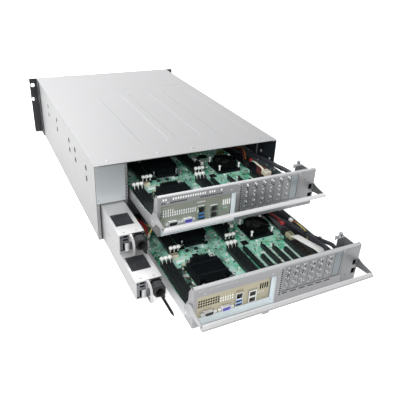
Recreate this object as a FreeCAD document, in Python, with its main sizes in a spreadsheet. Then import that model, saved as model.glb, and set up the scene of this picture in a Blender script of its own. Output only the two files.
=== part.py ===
import FreeCAD, Part
import math
import os

import PartDesign
import Sketcher
from FreeCAD import Placement, Rotation, Vector

# A 4U rack storage server. +X is the power-supply side, +Y the rear, +Z up.
# The origin is the middle of the chassis floor's underside. Millimetres.
# At rest the two server trays and the two power supplies stand partly pulled out.

doc = FreeCAD.newDocument("storage_server")
sheet = doc.addObject("Spreadsheet::Sheet", "dims")

DIMENSIONS = [
    ("chassis_width", 438.0),
    ("chassis_depth", 700.0),
    ("chassis_height", 175.0),
    ("sheet_steel", 1.2),
    ("top_flange", 11.0),
    ("cover_seam_y", -157.0),
    ("rib_depth", 1.0),
    ("rail_hole_radius", 6.6),
    ("rail_hole_low", 114.5),
    ("rail_hole_high", 140.0),
    ("cover_screw_radius", 3.0),
    ("cover_screw_head", 0.9),
    ("cover_screw_shank", 1.5),
    ("bay_wall_x", 150.6),
    ("bay_shelf_z", 86.4),
    ("bay_front_y", -88.0),
    ("ear_reach", 241.3),
    ("ear_plate", 3.0),
    ("ear_leg", 50.0),
    ("ear_slot_x", 232.55),
    ("ear_slot_radius", 3.4),
    ("ear_slot_length", 10.5),
    ("rack_unit", 44.45),
    ("ear_grip_reach", 35.0),
    ("button_radius", 4.0),
    ("button_x", 234.2),
    ("button_z", 132.0),
    ("tray_left_x", 145.6),
    ("tray_right_x", -210.4),
    ("tray_depth", 440.0),
    ("tray_wall", 24.0),
    ("tray_wall_end", 29.0),
    ("end_flange", 30.0),
    ("panel_height", 83.6),
    ("upper_panel_y", 511.0),
    ("lower_panel_y", 674.0),
    ("upper_tray_z", 88.2),
    ("lower_tray_z", 1.6),
    ("port_left_x", 139.0),
    ("port_right_x", -20.0),
    ("port_low", 4.0),
    ("port_high", 64.5),
    ("port_recess", 11.0),
    ("slot_pitch", 20.32),
    ("slot_first_x", -38.2),
    ("slot_low", 22.0),
    ("slot_high", 79.0),
    ("board_left_x", 140.0),
    ("board_width", 305.0),
    ("board_length", 330.0),
    ("board_setback", 14.0),
    ("board_thickness", 1.6),
    ("standoff", 4.4),
    ("grip_arm", 2.0),
    ("grip_gap", 0.8),
    ("pivot_back", 21.0),
    ("pivot_up", 22.0),
    ("pivot_radius", 3.0),
    ("pivot_play", 0.08),
    ("grip_out", 37.0),
    ("grip_up", 37.5),
    ("grip_bar_y", 10.0),
    ("grip_bar_z", 8.0),
    ("grip_round", 2.4),
    ("bracket_back", 43.0),
    ("bracket_up", 74.5),
    ("plunger_radius", 2.5),
    ("plunger_head", 4.5),
    ("supply_left_x", 158.8),
    ("supply_width", 50.5),
    ("supply_height", 40.0),
    ("supply_length", 320.0),
    ("supply_skin", 1.0),
    ("upper_supply_y", 474.0),
    ("lower_supply_y", 568.0),
    ("upper_supply_z", 44.2),
    ("lower_supply_z", 2.2),
    ("upper_strap", 30.0),
    ("lower_strap", 70.0),
    ("bay_pitch_x", 144.5),
    ("bay_pitch_z", 42.5),
    ("bay_floor_z", 1.4),
    ("carrier_width", 141.8),
    ("carrier_height", 40.8),
    ("carrier_back_y", -163.0),
    ("drive_width", 101.6),
    ("drive_length", 147.0),
    ("drive_height", 26.1),
    ("fan_size", 120.0),
    ("fan_depth", 38.0),
    ("fan_bore", 58.0),
    ("fan_front_y", -144.8),
    ("fan_hub", 21.0),
    ("fan_tip", 55.5),
    ("wire_radius", 3.2),
]

VALUES = {}
for row, (alias, value) in enumerate(DIMENSIONS, 1):
    sheet.set("A%d" % row, alias)
    sheet.set("B%d" % row, repr(value))
    sheet.setAlias("B%d" % row, alias)
    VALUES[alias] = value
doc.recompute()


class Length:
    """A length: the text that binds it to the sheet, and its value."""

    def __init__(self, text, value):
        self.text = text
        self.value = value

    def _join(self, other, sign, value):
        return Length("(%s %s %s)" % (self.text, sign, as_length(other).text), value)

    def __add__(self, other):
        return self._join(other, "+", self.value + as_length(other).value)

    def __radd__(self, other):
        return as_length(other) + self

    def __sub__(self, other):
        return self._join(other, "-", self.value - as_length(other).value)

    def __rsub__(self, other):
        return as_length(other) - self

    def __mul__(self, other):
        return self._join(other, "*", self.value * as_length(other).value)

    def __rmul__(self, other):
        return as_length(other) * self

    def __truediv__(self, other):
        return self._join(other, "/", self.value / as_length(other).value)

    def __neg__(self):
        return Length("(0 - %s)" % self.text, -self.value)


def as_length(number):
    if isinstance(number, Length):
        return number
    return Length("(%s)" % repr(float(number)), float(number))


def dim(alias):
    return Length("dims." + alias, VALUES[alias])


NODES = []


def node(obj, label):
    obj.Label = label
    NODES.append(obj)
    return obj


def place(obj, x, y, z):
    for key, value in (("x", x), ("y", y), ("z", z)):
        obj.setExpression("Placement.Base." + key, as_length(value).text)


def box(name, x0, x1, y0, y1, z0, z1):
    obj = doc.addObject("Part::Box", name)
    for prop, low, high in (("Length", x0, x1), ("Width", y0, y1), ("Height", z0, z1)):
        obj.setExpression(prop, (as_length(high) - as_length(low)).text)
    place(obj, x0, y0, z0)
    return obj


TURN = {
    "x": Rotation(Vector(0, 1, 0), 90),
    "y": Rotation(Vector(1, 0, 0), -90),
    "z": Rotation(),
}


def rod(name, axis, x, y, z, radius, length):
    obj = doc.addObject("Part::Cylinder", name)
    obj.Placement = Placement(Vector(), TURN[axis])
    obj.setExpression("Radius", as_length(radius).text)
    obj.setExpression("Height", as_length(length).text)
    place(obj, x, y, z)
    return obj


def fuse(name, shapes):
    obj = doc.addObject("Part::MultiFuse", name)
    obj.Shapes = shapes
    obj.Refine = True
    return obj


def gather(name, shapes):
    obj = doc.addObject("Part::Compound", name)
    obj.Links = shapes
    return obj


def cut(name, base, tools):
    obj = doc.addObject("Part::Cut", name)
    obj.Base = base
    obj.Tool = tools[0] if len(tools) == 1 else gather(name + "_tools", tools)
    obj.Refine = True
    return obj


def origin_plane(body, role):
    for feature in body.Origin.OriginFeatures:
        if feature.Role == role:
            return feature
    raise RuntimeError("no plane " + role)


def draw(body, name, role, outlines, circles=()):
    """A fully constrained sketch of closed outlines and circles, bound to the sheet."""
    sketch = body.newObject("Sketcher::SketchObject", name)
    sketch.AttachmentSupport = [(origin_plane(body, role), "")]
    sketch.MapMode = "FlatFace"
    count = 0
    for outline in outlines:
        points = [(as_length(u), as_length(v)) for u, v in outline]
        size = len(points)
        for i in range(size):
            a, b = points[i], points[(i + 1) % size]
            sketch.addGeometry(
                Part.LineSegment(
                    Vector(a[0].value, a[1].value, 0), Vector(b[0].value, b[1].value, 0)
                ),
                False,
            )
        for i in range(size):
            sketch.addConstraint(
                Sketcher.Constraint(
                    "Coincident", count + i, 2, count + (i + 1) % size, 1
                )
            )
        for i, (u, v) in enumerate(points):
            for kind, value, tag, axis in (
                ("DistanceX", u, "u", -2),
                ("DistanceY", v, "v", -1),
            ):
                if abs(value.value) < 1e-9:
                    sketch.addConstraint(
                        Sketcher.Constraint("PointOnObject", count + i, 1, axis)
                    )
                    continue
                index = sketch.addConstraint(
                    Sketcher.Constraint(kind, -1, 1, count + i, 1, value.value)
                )
                label = "%s%d" % (tag, count + i)
                sketch.renameConstraint(index, label)
                sketch.setExpression("Constraints." + label, value.text)
        count += size
    for u, v, radius in circles:
        u, v, radius = as_length(u), as_length(v), as_length(radius)
        sketch.addGeometry(
            Part.Circle(Vector(u.value, v.value, 0), Vector(0, 0, 1), radius.value),
            False,
        )
        for kind, value, tag in (("DistanceX", u, "cu"), ("DistanceY", v, "cv")):
            index = sketch.addConstraint(
                Sketcher.Constraint(kind, -1, 1, count, 3, value.value)
            )
            label = "%s%d" % (tag, count)
            sketch.renameConstraint(index, label)
            sketch.setExpression("Constraints." + label, value.text)
        index = sketch.addConstraint(
            Sketcher.Constraint("Radius", count, radius.value)
        )
        sketch.renameConstraint(index, "r%d" % count)
        sketch.setExpression("Constraints.r%d" % count, radius.text)
        count += 1
    return sketch


def pad(body, sketch, length, symmetric=False, name="Pad"):
    feature = body.newObject("PartDesign::Pad", name)
    feature.Profile = sketch
    feature.setExpression("Length", as_length(length).text)
    if symmetric:
        feature.SideType = "Symmetric"
    body.Tip = feature
    return feature


def plate(name, role, outline, length, x=0, y=0, z=0, symmetric=False):
    """One sketched outline, padded, as a body of its own."""
    body = doc.addObject("PartDesign::Body", name)
    pad(body, draw(body, name + "_outline", role, [outline]), length, symmetric)
    place(body, x, y, z)
    return body


W2 = dim("chassis_width") / 2
D2 = dim("chassis_depth") / 2
H = dim("chassis_height")
T = dim("sheet_steel")

# ---------------------------------------------------------------- chassis shell
# One folded sheet: floor, two sides, and an inward flange that carries the covers.
inner = W2 - T
flange = W2 - dim("top_flange")
lid = H - T
shell_body = doc.addObject("PartDesign::Body", "shell_body")
shell_outline = [
    (-W2, 0), (W2, 0), (W2, lid), (flange, lid), (flange, lid - T), (inner, lid - T),
    (inner, T), (-inner, T), (-inner, lid - T), (-flange, lid - T), (-flange, lid), (-W2, lid),
]
pad(shell_body, draw(shell_body, "shell_profile", "XZ_Plane", [shell_outline]), D2 * 2, True)
doc.recompute()
solid_before = shell_body.Shape.Volume
rail_holes = [
    (y, z, dim("rail_hole_radius"))
    for y in (-167.0, -43.0, 108.5, 171.5, 275.7)
    for z in (dim("rail_hole_low"), dim("rail_hole_high"))
]
side_screws = [(y, 164.0, dim("cover_screw_shank") + 0.1) for y in (78.0, 262.5)]
hole_sketch = draw(shell_body, "rail_holes", "YZ_Plane", [], rail_holes + side_screws)
rail_pocket = shell_body.newObject("PartDesign::Pocket", "RailPocket")
rail_pocket.Profile = hole_sketch
rail_pocket.SideType = "Symmetric"
rail_pocket.Type = "ThroughAll"
shell_body.Tip = rail_pocket
doc.recompute()
if shell_body.Shape.Volume > solid_before - 200:
    raise RuntimeError("the rail holes were not cut")
node(shell_body, "chassis_shell")

# ---------------------------------------------------------------- covers
seam = dim("cover_seam_y")
shank = dim("cover_screw_shank")
screw_tops = [
    (73.7, 329.0), (-9.1, 329.0), (-185.0, 329.0), (185.0, 329.0),
    (190.0, -147.0), (-190.0, -147.0), (0.0, -147.0),
]
front_screws = [(190.0, -167.0), (-190.0, -167.0), (128.0, -341.0), (-128.0, -341.0)]


def cover_holes(name, places):
    return [
        rod("%s_%d" % (name, i), "z", x, y, lid - 1, shank + 0.1, T + 2)
        for i, (x, y) in enumerate(places)
    ]


node(
    cut(
        "front_cover_cut",
        box("front_cover_sheet", -W2, W2, -D2, seam - 0.3, lid, H),
        cover_holes("front_cover_hole", front_screws),
    ),
    "front_top_cover",
)

rib = dim("rib_depth")
rear_sheet = box("rear_cover_sheet", -W2, W2, seam + 0.3, D2, lid, H)
rib_bottoms, rib_tops = [], []
for i, (x0, x1, y0, y1) in enumerate(
    ((21.0, 90.0, -107.0, 275.0), (-64.0, 2.0, -105.0, 271.0), (-188.0, -104.0, -105.0, 276.0))
):
    rib_bottoms.append(box("rib_back_%d" % i, x0 - 1.2, x1 + 1.2, y0 - 1.2, y1 + 1.2, lid - rib, lid))
    rib_tops.append(box("rib_face_%d" % i, x0, x1, y0, y1, H - rib, H + 1))
rear_blank = fuse("rear_cover_blank", [rear_sheet] + rib_bottoms)
node(
    cut("rear_cover_cut", rear_blank, rib_tops + cover_holes("rear_cover_hole", screw_tops)),
    "rear_top_cover",
)

screws = []
for i, (x, y) in enumerate(screw_tops + front_screws):
    screws.append(
        fuse(
            "cover_screw_%d" % i,
            [
                rod("cover_screw_head_%d" % i, "z", x, y, H, dim("cover_screw_radius"), dim("cover_screw_head")),
                rod("cover_screw_shank_%d" % i, "z", x, y, lid, shank, T),
            ],
        )
    )
for i, (y, side) in enumerate(((78.0, 1), (262.5, 1), (78.0, -1), (262.5, -1))):
    head_x = W2 if side > 0 else -W2 - dim("cover_screw_head")
    shank_x = inner if side > 0 else -W2
    screws.append(
        fuse(
            "side_screw_%d" % i,
            [
                rod("side_screw_head_%d" % i, "x", head_x, y, 164.0, dim("cover_screw_radius"), dim("cover_screw_head")),
                rod("side_screw_shank_%d" % i, "x", shank_x, y, 164.0, shank, T),
            ],
        )
    )
node(gather("cover_screw_set", screws), "cover_screws")

# ---------------------------------------------------------------- rear bays
wall_x = dim("bay_wall_x")
shelf_z = dim("bay_shelf_z")
bay_front = dim("bay_front_y")
node(
    fuse(
        "bay_partition_fuse",
        [
            box("bay_wall", wall_x, wall_x + T, bay_front, D2, T, lid),
            box("bay_shelf", -inner, wall_x, bay_front, D2, shelf_z, shelf_z + T),
        ],
    ),
    "bay_partition",
)
cage_x0, cage_x1 = wall_x + T + 0.2, inner - 0.2
node(
    fuse(
        "rear_blank_fuse",
        [
            box("rear_blank_sheet", cage_x0, cage_x1, D2 - T, D2, 87.8, lid - T - 0.2),
            box("rear_blank_lip", cage_x0, cage_x1, D2 - 14, D2 - T, 87.8, 87.8 + T),
            box("rear_blank_side", cage_x0, cage_x0 + T, D2 - 14, D2 - T, 87.8, lid - T - 0.2),
        ],
    ),
    "rear_blank_panel",
)
node(
    fuse(
        "supply_cage_fuse",
        [
            box("supply_cage_lid", cage_x0, cage_x1, 30.0, D2 - 1, 86.2, 87.2),
            box("supply_cage_mid", 155.0, 213.0, 30.0, D2 - 1, 42.8, 43.6),
            box("supply_cage_wall_a", 155.0, 156.0, 30.0, D2 - 1, T, 86.2),
            box("supply_cage_wall_b", 212.0, 213.0, 30.0, D2 - 1, T, 86.2),
            box("supply_cage_flange_a", cage_x0, 156.0, D2 - 1, D2, T, 87.2),
            box("supply_cage_flange_b", 212.0, cage_x1, D2 - 1, D2, T, 87.2),
        ],
    ),
    "supply_cage",
)

# ---------------------------------------------------------------- drive front
pitch_x, pitch_z = dim("bay_pitch_x"), dim("bay_pitch_z")
bay_z = dim("bay_floor_z")
cage_back = -160.0
cage_parts = []
for i in range(5):
    z = bay_z + pitch_z * i
    cage_parts.append(box("drive_shelf_%d" % i, -217.0, 217.0, -346.0, cage_back, z, z + 0.8))
for i in range(4):
    x = pitch_x * (i - 1.5)
    cage_parts.append(box("drive_wall_%d" % i, x - 0.5, x + 0.5, -346.0, cage_back, bay_z, bay_z + pitch_z * 4 + 0.8))
node(fuse("drive_cage_fuse", cage_parts), "drive_cage")

backplane = box("backplane_sheet", -216.0, 216.0, -158.0, -156.0, 3.0, 171.0)
vents = []
for col in range(3):
    for row in range(4):
        x, z = pitch_x * (col - 1), bay_z + pitch_z * (row + 0.5)
        vents.append(box("backplane_vent_%d_%d" % (col, row), x - 60.0, x + 60.0, -159.0, -155.0, z + 6.0, z + 16.0))
node(cut("backplane_cut", backplane, vents), "drive_backplane")

# One carrier: bezel with its side rails and floor, and the drive it holds.
cw, ch = dim("carrier_width"), dim("carrier_height")
carrier_frame = fuse(
    "carrier_frame",
    [
        box("carrier_bezel", -cw / 2, cw / 2, -352.0, -342.0, 0.0, ch),
        box("carrier_floor", -cw / 2 + 12, cw / 2 - 12, -342.0, dim("carrier_back_y"), 2.0, 3.6),
        box("carrier_rail_a", -cw / 2 + 10, -cw / 2 + 13, -342.0, dim("carrier_back_y"), 2.0, 32.0),
        box("carrier_rail_b", cw / 2 - 13, cw / 2 - 10, -342.0, dim("carrier_back_y"), 2.0, 32.0),
    ],
)
carrier_drive = box(
    "carrier_drive", -dim("drive_width") / 2, dim("drive_width") / 2,
    -340.0, -340.0 + dim("drive_length"), 3.6, 3.6 + dim("drive_height"),
)
carrier = gather("carrier_pattern", [carrier_frame, carrier_drive])
for col in range(3):
    for row in range(4):
        number = row * 3 + col + 1
        copy = gather("carrier_%d" % number, [carrier])
        place(copy, pitch_x * (col - 1), 0, bay_z + pitch_z * row + 0.8 + 0.45)
        node(copy, "drive_carrier_%d" % number)

# ---------------------------------------------------------------- fans
fan_y, fan_d, fan_s = dim("fan_front_y"), dim("fan_depth"), dim("fan_size")
fan_z = 87.5
fan_wall = box("fan_wall_sheet", -217.2, 217.2, fan_y - T, fan_y, 1.4, 172.2)
node(
    cut(
        "fan_wall_cut", fan_wall,
        [rod("fan_wall_hole_%d" % i, "y", pitch_x * i, fan_y - 3, fan_z, dim("fan_bore") - 1, 6) for i in (-1, 0, 1)],
    ),
    "fan_wall",
)
frames = []
for i in (-1, 0, 1):
    x = pitch_x * i
    tag = "fan_%d" % (i + 2)
    shell = cut(
        tag + "_shell",
        box(tag + "_block", x - fan_s / 2, x + fan_s / 2, fan_y, fan_y + fan_d, fan_z - fan_s / 2, fan_z + fan_s / 2),
        [rod(tag + "_bore", "y", x, fan_y - 1, fan_z, dim("fan_bore"), fan_d + 2)],
    )
    frames.append(
        fuse(
            tag + "_frame",
            [
                shell,
                rod(tag + "_seat", "y", x, fan_y + fan_d - 3, fan_z, dim("fan_hub"), 3),
                box(tag + "_strut_a", x - fan_s / 2 + 1, x + fan_s / 2 - 1, fan_y + fan_d - 3, fan_y + fan_d, fan_z - 2, fan_z + 2),
                box(tag + "_strut_b", x - 2, x + 2, fan_y + fan_d - 3, fan_y + fan_d, fan_z - fan_s / 2 + 1, fan_z + fan_s / 2 - 1),
            ],
        )
    )
node(gather("fan_frame_set", frames), "fan_frames")


def rotor(name, x, y, z, hub, tip, length, chord, thick, count, lean):
    """A hub along Y with flat leaning blades; y is the hub's front end."""
    shapes = [rod(name + "_hub", "y", x, y, z, hub, length)]
    for i in range(count):
        blade = doc.addObject("Part::Box", "%s_blade_%d" % (name, i))
        turn = Rotation(Vector(0, 1, 0), 360.0 * i / count) * Rotation(Vector(1, 0, 0), lean)
        blade.Placement = Placement(Vector(), turn)
        blade.setExpression("Length", (as_length(tip) - as_length(hub) + 2).text)
        blade.setExpression("Width", as_length(chord).text)
        blade.setExpression("Height", as_length(thick).text)
        corner = (as_length(hub) - 2, as_length(chord) / -2, as_length(thick) / -2)
        for key, axis in (("x", Vector(1, 0, 0)), ("y", Vector(0, 1, 0)), ("z", Vector(0, 0, 1))):
            total = as_length({"x": x, "y": as_length(y) + as_length(length) / 2, "z": z}[key])
            for part, local in zip(corner, (Vector(1, 0, 0), Vector(0, 1, 0), Vector(0, 0, 1))):
                total = total + part * round(turn.multVec(local).dot(axis), 9)
            blade.setExpression("Placement.Base." + key, total.text)
        shapes.append(blade)
    return fuse(name + "_fuse", shapes)


for i in (-1, 0, 1):
    node(
        rotor("rotor_%d" % (i + 2), pitch_x * i, fan_y + 2, fan_z, dim("fan_hub"), dim("fan_tip"), 30.0, 30.0, 2.0, 7, 35.0),
        "fan_rotor_%d" % (i + 2),
    )

# ---------------------------------------------------------------- rack ears
ears = []
reach, ear_t = dim("ear_reach"), dim("ear_plate")
slot_r, slot_half = dim("ear_slot_radius"), dim("ear_slot_length") / 2
for side, tag in ((1, "left"), (-1, "right")):
    outline = [
        (side * W2, -D2), (side * reach, -D2), (side * reach, -D2 + ear_t), (side * (W2 + 2), -D2 + ear_t),
        (side * (W2 + 2), -D2 + dim("ear_leg")), (side * W2, -D2 + dim("ear_leg")),
    ]
    ear = plate(tag + "_ear_plate", "XY_Plane", outline, H - 1, 0, 0, 0.5)
    slots = []
    for k in (0.5, 1.5):
        z = H / 2 + dim("rack_unit") * k
        name = "%s_ear_slot_%d" % (tag, int(2 * k + 3))
        cx = side * dim("ear_slot_x")
        slots.append(
            fuse(
                name,
                [
                    box(name + "_mid", cx - slot_half + slot_r, cx + slot_half - slot_r, -D2 - 1, -D2 + ear_t + 1, z - slot_r, z + slot_r),
                    rod(name + "_a", "y", cx - slot_half + slot_r, -D2 - 1, z, slot_r, ear_t + 2),
                    rod(name + "_b", "y", cx + slot_half - slot_r, -D2 - 1, z, slot_r, ear_t + 2),
                ],
            )
        )
    if side > 0:
        slots.append(rod("button_hole", "y", dim("button_x"), -D2 - 1, dim("button_z"), dim("button_radius") + 0.3, ear_t + 2))
    grip_x = W2 + 4 if side > 0 else -W2 - 10
    out = -D2 - dim("ear_grip_reach")
    grip = [
        box(tag + "_grip_low", grip_x, grip_x + 6, out, -D2, 42.0, 50.0),
        box(tag + "_grip_high", grip_x, grip_x + 6, out, -D2, 125.0, 133.0),
        box(tag + "_grip_bar", grip_x, grip_x + 6, out, out + 8, 42.0, 133.0),
    ]
    ears.append(fuse(tag + "_ear", [cut(tag + "_ear_cut", ear, slots)] + grip))
node(gather("rack_ear_pair", ears), "rack_ears")
node(
    fuse(
        "power_button_fuse",
        [
            rod("button_cap", "y", dim("button_x"), -D2 - 2.5, dim("button_z"), dim("button_radius"), 8.0),
            rod("button_collar", "y", dim("button_x"), -D2 + ear_t + 0.4, dim("button_z"), dim("button_radius") + 1.5, 1.6),
        ],
    ),
    "power_button",
)


# ---------------------------------------------------------------- server trays
def wire(name, points, radius):
    """A cable along straight runs joined by tangent arcs, in the tray."""
    points = [Vector(*p) for p in points]
    edges, start = [], points[0]
    for i in range(1, len(points) - 1):
        a, b, c = points[i - 1], points[i], points[i + 1]
        into, out = (b - a).normalize(), (c - b).normalize()
        turn = math.acos(max(-1.0, min(1.0, into.dot(out))))
        bend = 0.45 * min((b - a).Length, (c - b).Length) / math.tan(turn / 2)
        back = bend * math.tan(turn / 2)
        p, q = b - into * back, b + out * back
        middle = (out - into).normalize()
        centre = b + middle * (bend / math.cos(turn / 2))
        edges.append(Part.LineSegment(start, p).toShape())
        edges.append(Part.Arc(p, centre - middle * bend, q).toShape())
        start = q
    edges.append(Part.LineSegment(start, points[-1]).toShape())
    path = Part.Wire(edges)
    ring = Part.Wire(Part.Circle(points[0], (points[1] - points[0]).normalize(), radius).toShape())
    solid = path.makePipeShell([ring], True, False)
    expected = math.pi * radius * radius * path.Length
    if abs(solid.Volume - expected) > 0.02 * expected:
        raise RuntimeError("cable %s: volume %.0f, expected %.0f" % (name, solid.Volume, expected))
    obj = doc.addObject("Part::Feature", name)
    obj.Shape = solid
    return obj


def tray(tag, panel_y, floor_z):
    yp, zb = dim(panel_y), dim(floor_z)
    xl, xr = dim("tray_left_x"), dim("tray_right_x")
    y0, y1 = yp - dim("tray_depth"), yp - T
    wall = zb + dim("tray_wall_end")
    piv_y, piv_z = yp - dim("pivot_back"), zb + dim("pivot_up")
    hole = dim("pivot_radius") + dim("pivot_play")

    # pan: floor, low walls that rise to the rear, and stand-offs
    depth = dim("tray_depth")
    side = [
        (-depth, 0), (0.0 - dim("end_flange") - 0.6, 0), (0.0 - dim("end_flange") - 0.6, dim("tray_wall_end")),
        (-75.0, dim("tray_wall")), (-depth, dim("tray_wall")),
    ]
    shapes = [
        box(tag + "_pan_floor", xr, xl, y0, y1, zb, zb + T),
        plate(tag + "_pan_left", "YZ_Plane", side, T, xl - T, yp, zb),
        plate(tag + "_pan_right", "YZ_Plane", side, T, xr, yp, zb),
        box(tag + "_pan_front", xr, xl, y0, y0 + T, zb, zb + dim("tray_wall")),
    ]
    for i, x in enumerate((-155.0, -5.0, 130.0)):
        for j, y in enumerate((-25.0, -180.0, -335.0)):
            shapes.append(rod("%s_standoff_%d%d" % (tag, i, j), "z", x, yp + y, zb + T, 3.0, dim("standoff")))
    node(fuse(tag + "_pan", shapes), tag + "_tray_pan")

    # rear panel: a sheet with the port bay, the slot window and two edge notches
    port_l, port_r = dim("port_left_x"), dim("port_right_x")
    port_lo, port_hi = zb + dim("port_low"), zb + dim("port_high")
    deep = yp - dim("port_recess")
    first = dim("slot_first_x") + dim("slot_pitch") / 2
    last = first - dim("slot_pitch") * 6 - 18
    tools = [
        box(tag + "_port_window", port_r, port_l, yp - 5, yp + 5, port_lo, port_hi),
        box(tag + "_slot_window", last, first, yp - 5, yp + 5, zb + dim("slot_low"), zb + dim("slot_high")),
        box(tag + "_notch_high", xr - 1, xr + 10, yp - 5, yp + 5, zb + 39, zb + 49),
        box(tag + "_notch_low", xr - 1, xr + 10, yp - 5, yp + 5, zb + 18.5, zb + 28.5),
    ]
    for i in range(6):
        x = dim("slot_first_x") - dim("slot_pitch") * i
        tools.append(box("%s_dash_%d" % (tag, i), x - 6, x + 6, yp - 5, yp + 5, zb + 17.6, zb + 19.8))
    for i in range(28):
        x = 134.0 - 5.0 * i
        tools.append(box("%s_louvre_%d" % (tag, i), x - 1.1, x + 1.1, yp - 5, yp + 5, zb + 74.2, zb + 78.6))
    sheet_cut = cut(tag + "_panel_cut", box(tag + "_panel_sheet", xr, xl, yp - T, yp, zb, zb + dim("panel_height")), tools)
    high = dim("panel_height")
    top = zb + high
    # stepped end flanges, folded forward from the sheet, with the handle's pivot holes
    end = [
        (0.0 - dim("end_flange"), T), (-T, T), (-T, high), (-9.0, high), (-18.0, 66.0), (-20.0, 47.0),
        (0.0 - dim("end_flange"), dim("tray_wall_end") + 2),
    ]
    ends = []
    for name, x in (("left", xl - T), ("right", xr)):
        ends.append(
            cut(
                "%s_end_%s" % (tag, name),
                plate("%s_end_plate_%s" % (tag, name), "YZ_Plane", end, T, x, yp, zb),
                [rod("%s_pivot_hole_%s" % (tag, name), "x", x - 2, piv_y, piv_z, hole, T + 4)],
            )
        )
    node(
        fuse(
            tag + "_panel",
            ends + [
                sheet_cut,
                box(tag + "_panel_lip", xr, xl, yp - 12, yp - T, top - T, top),
                box(tag + "_port_floor", port_r - T, port_l + T, deep, yp - T, port_lo - T, port_lo),
                box(tag + "_port_roof", port_r - T, port_l + T, deep, yp - T, port_hi, port_hi + T),
                box(tag + "_port_side_a", port_l, port_l + T, deep, yp - T, port_lo, port_hi),
                box(tag + "_port_side_b", port_r - T, port_r, deep, yp - T, port_lo, port_hi),
            ],
        ),
        tag + "_tray_panel",
    )

    # port shield at the back of the port bay
    board_top = zb + T + dim("standoff") + dim("board_thickness")
    ports = [
        (98.0, 118.0, 2.0, 12.0), (58.0, 81.0, 2.0, 12.0), (41.5, 56.5, 0.6, 31.0), (12.0, 29.0, 0.6, 28.0),
    ]
    shield_tools = [
        box("%s_port_hole_%d" % (tag, i), x0 - 0.5, x1 + 0.5, deep - 5, deep + 5, board_top - 0.5, board_top + z1 + 0.5)
        for i, (x0, x1, z0, z1) in enumerate(ports)
    ]
    node(
        cut(
            tag + "_shield",
            box(tag + "_shield_sheet", port_r - T, port_l + T, deep - 0.8, deep, port_lo - T, port_hi + T),
            shield_tools,
        ),
        tag + "_port_shield",
    )

    # slot covers standing in the slot window
    covers = []
    for i in range(7):
        x = dim("slot_first_x") - dim("slot_pitch") * i
        half_a, half_b = (9.3, 9.3) if i < 6 else (9.3, 7.6)
        covers.append(
            box("%s_slot_cover_%d" % (tag, i), x - half_b, x + half_a, yp - 2.1, yp - T, zb + 20.4, zb + 81.0)
        )
    node(gather(tag + "_slot_cover_set", covers), tag + "_slot_covers")

    # motherboard
    bx1 = dim("board_left_x")
    bx0 = bx1 - dim("board_width")
    by1 = yp - dim("board_setback")
    by0 = by1 - dim("board_length")
    board_low = zb + T + dim("standoff")
    node(
        box(tag + "_board", bx0, bx1, by0, by1, board_low, board_top),
        tag + "_motherboard",
    )

    # heatsinks: base with fins, and the low round-fan cooler
    sinks = []
    for k, (x0, x1, r0, r1, high) in enumerate(((30.0, 95.0, -152.0, -64.0, 25.0), (10.0, 75.0, -300.0, -210.0, 25.0))):
        name = "%s_sink_%d" % (tag, k)
        fins = [
            box("%s_gap_%d" % (name, i), x0 + 2.4 + 5.1 * i, x0 + 5.1 + 5.1 * i, yp + r0 - 1, yp + r1 + 1, board_top + 12, board_top + high + 1)
            for i in range(12)
        ]
        sinks.append(cut(name, box(name + "_block", x0, x1, yp + r0, yp + r1, board_top + 4, board_top + high), fins))
        sinks.append(box(name + "_socket", x0 + 8, x1 - 8, yp + r0 + 16, yp + r1 - 16, board_top, board_top + 4))
    cooler = fuse(
        tag + "_cooler",
        [
            box(tag + "_cooler_base", -142.0, -82.0, yp - 246, yp - 186, board_top, board_top + 8),
            rod(tag + "_cooler_ring", "z", -112.0, yp - 216, board_top + 8, 29.0, 14.0),
        ],
    )
    sinks.append(cooler)
    node(gather(tag + "_sink_set", sinks), tag + "_heatsinks")

    # memory and expansion sockets, and the port connectors
    sockets = []
    for bank, (x, r0, r1) in enumerate(((135.0, -174.0, -34.0), (-14.0, -174.0, -34.0), (104.0, -342.0, -204.0), (-26.0, -342.0, -204.0))):
        for i in range(3):
            x1 = x - 8.6 * i
            sockets.append(box("%s_memory_%d%d" % (tag, bank, i), x1 - 6.8, x1, yp + r0, yp + r1, board_top, board_top + 9))
    for i, far in enumerate((-159.0, -124.0, -154.0, -139.0, -129.0, -154.0)):
        x = -51.0 - 20.32 * i
        sockets.append(box("%s_slot_%d" % (tag, i), x - 3.8, x + 3.8, yp + far, yp - 58, board_top, board_top + 11.2))
    for i, (x0, x1, z0, z1) in enumerate(ports):
        sockets.append(box("%s_port_%d" % (tag, i), x0, x1, yp - 33, deep + 1.5, board_top, board_top + z1))
    node(gather(tag + "_socket_set", sockets), tag + "_board_sockets")

    # latch bracket above the right wall, and its sprung plunger
    back = yp - dim("bracket_back")
    up = zb + dim("bracket_up")
    px, py = -200.0, back - 4.0
    bracket = cut(
        tag + "_bracket",
        fuse(
            tag + "_bracket_blank",
            [
                box(tag + "_bracket_side", xr + T, xr + T * 2, back, yp - T, wall, up),
                box(tag + "_bracket_back", xr + T, -189.0, back, back + T, wall, up),
                box(tag + "_bracket_top", xr + T, -189.0, back - 9, back + T, up - T, up),
            ],
        ),
        [rod(tag + "_bracket_hole", "z", px, py, up - 5, dim("plunger_radius") + 0.3, 10)],
    )
    node(bracket, tag + "_latch_bracket")
    node(
        fuse(
            tag + "_plunger",
            [
                rod(tag + "_plunger_stem", "z", px, py, up - 14, dim("plunger_radius"), 19.0),
                rod(tag + "_plunger_knob", "z", px, py, up + 5, dim("plunger_head"), 4.0),
            ],
        ),
        tag + "_latch_plunger",
    )

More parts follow.
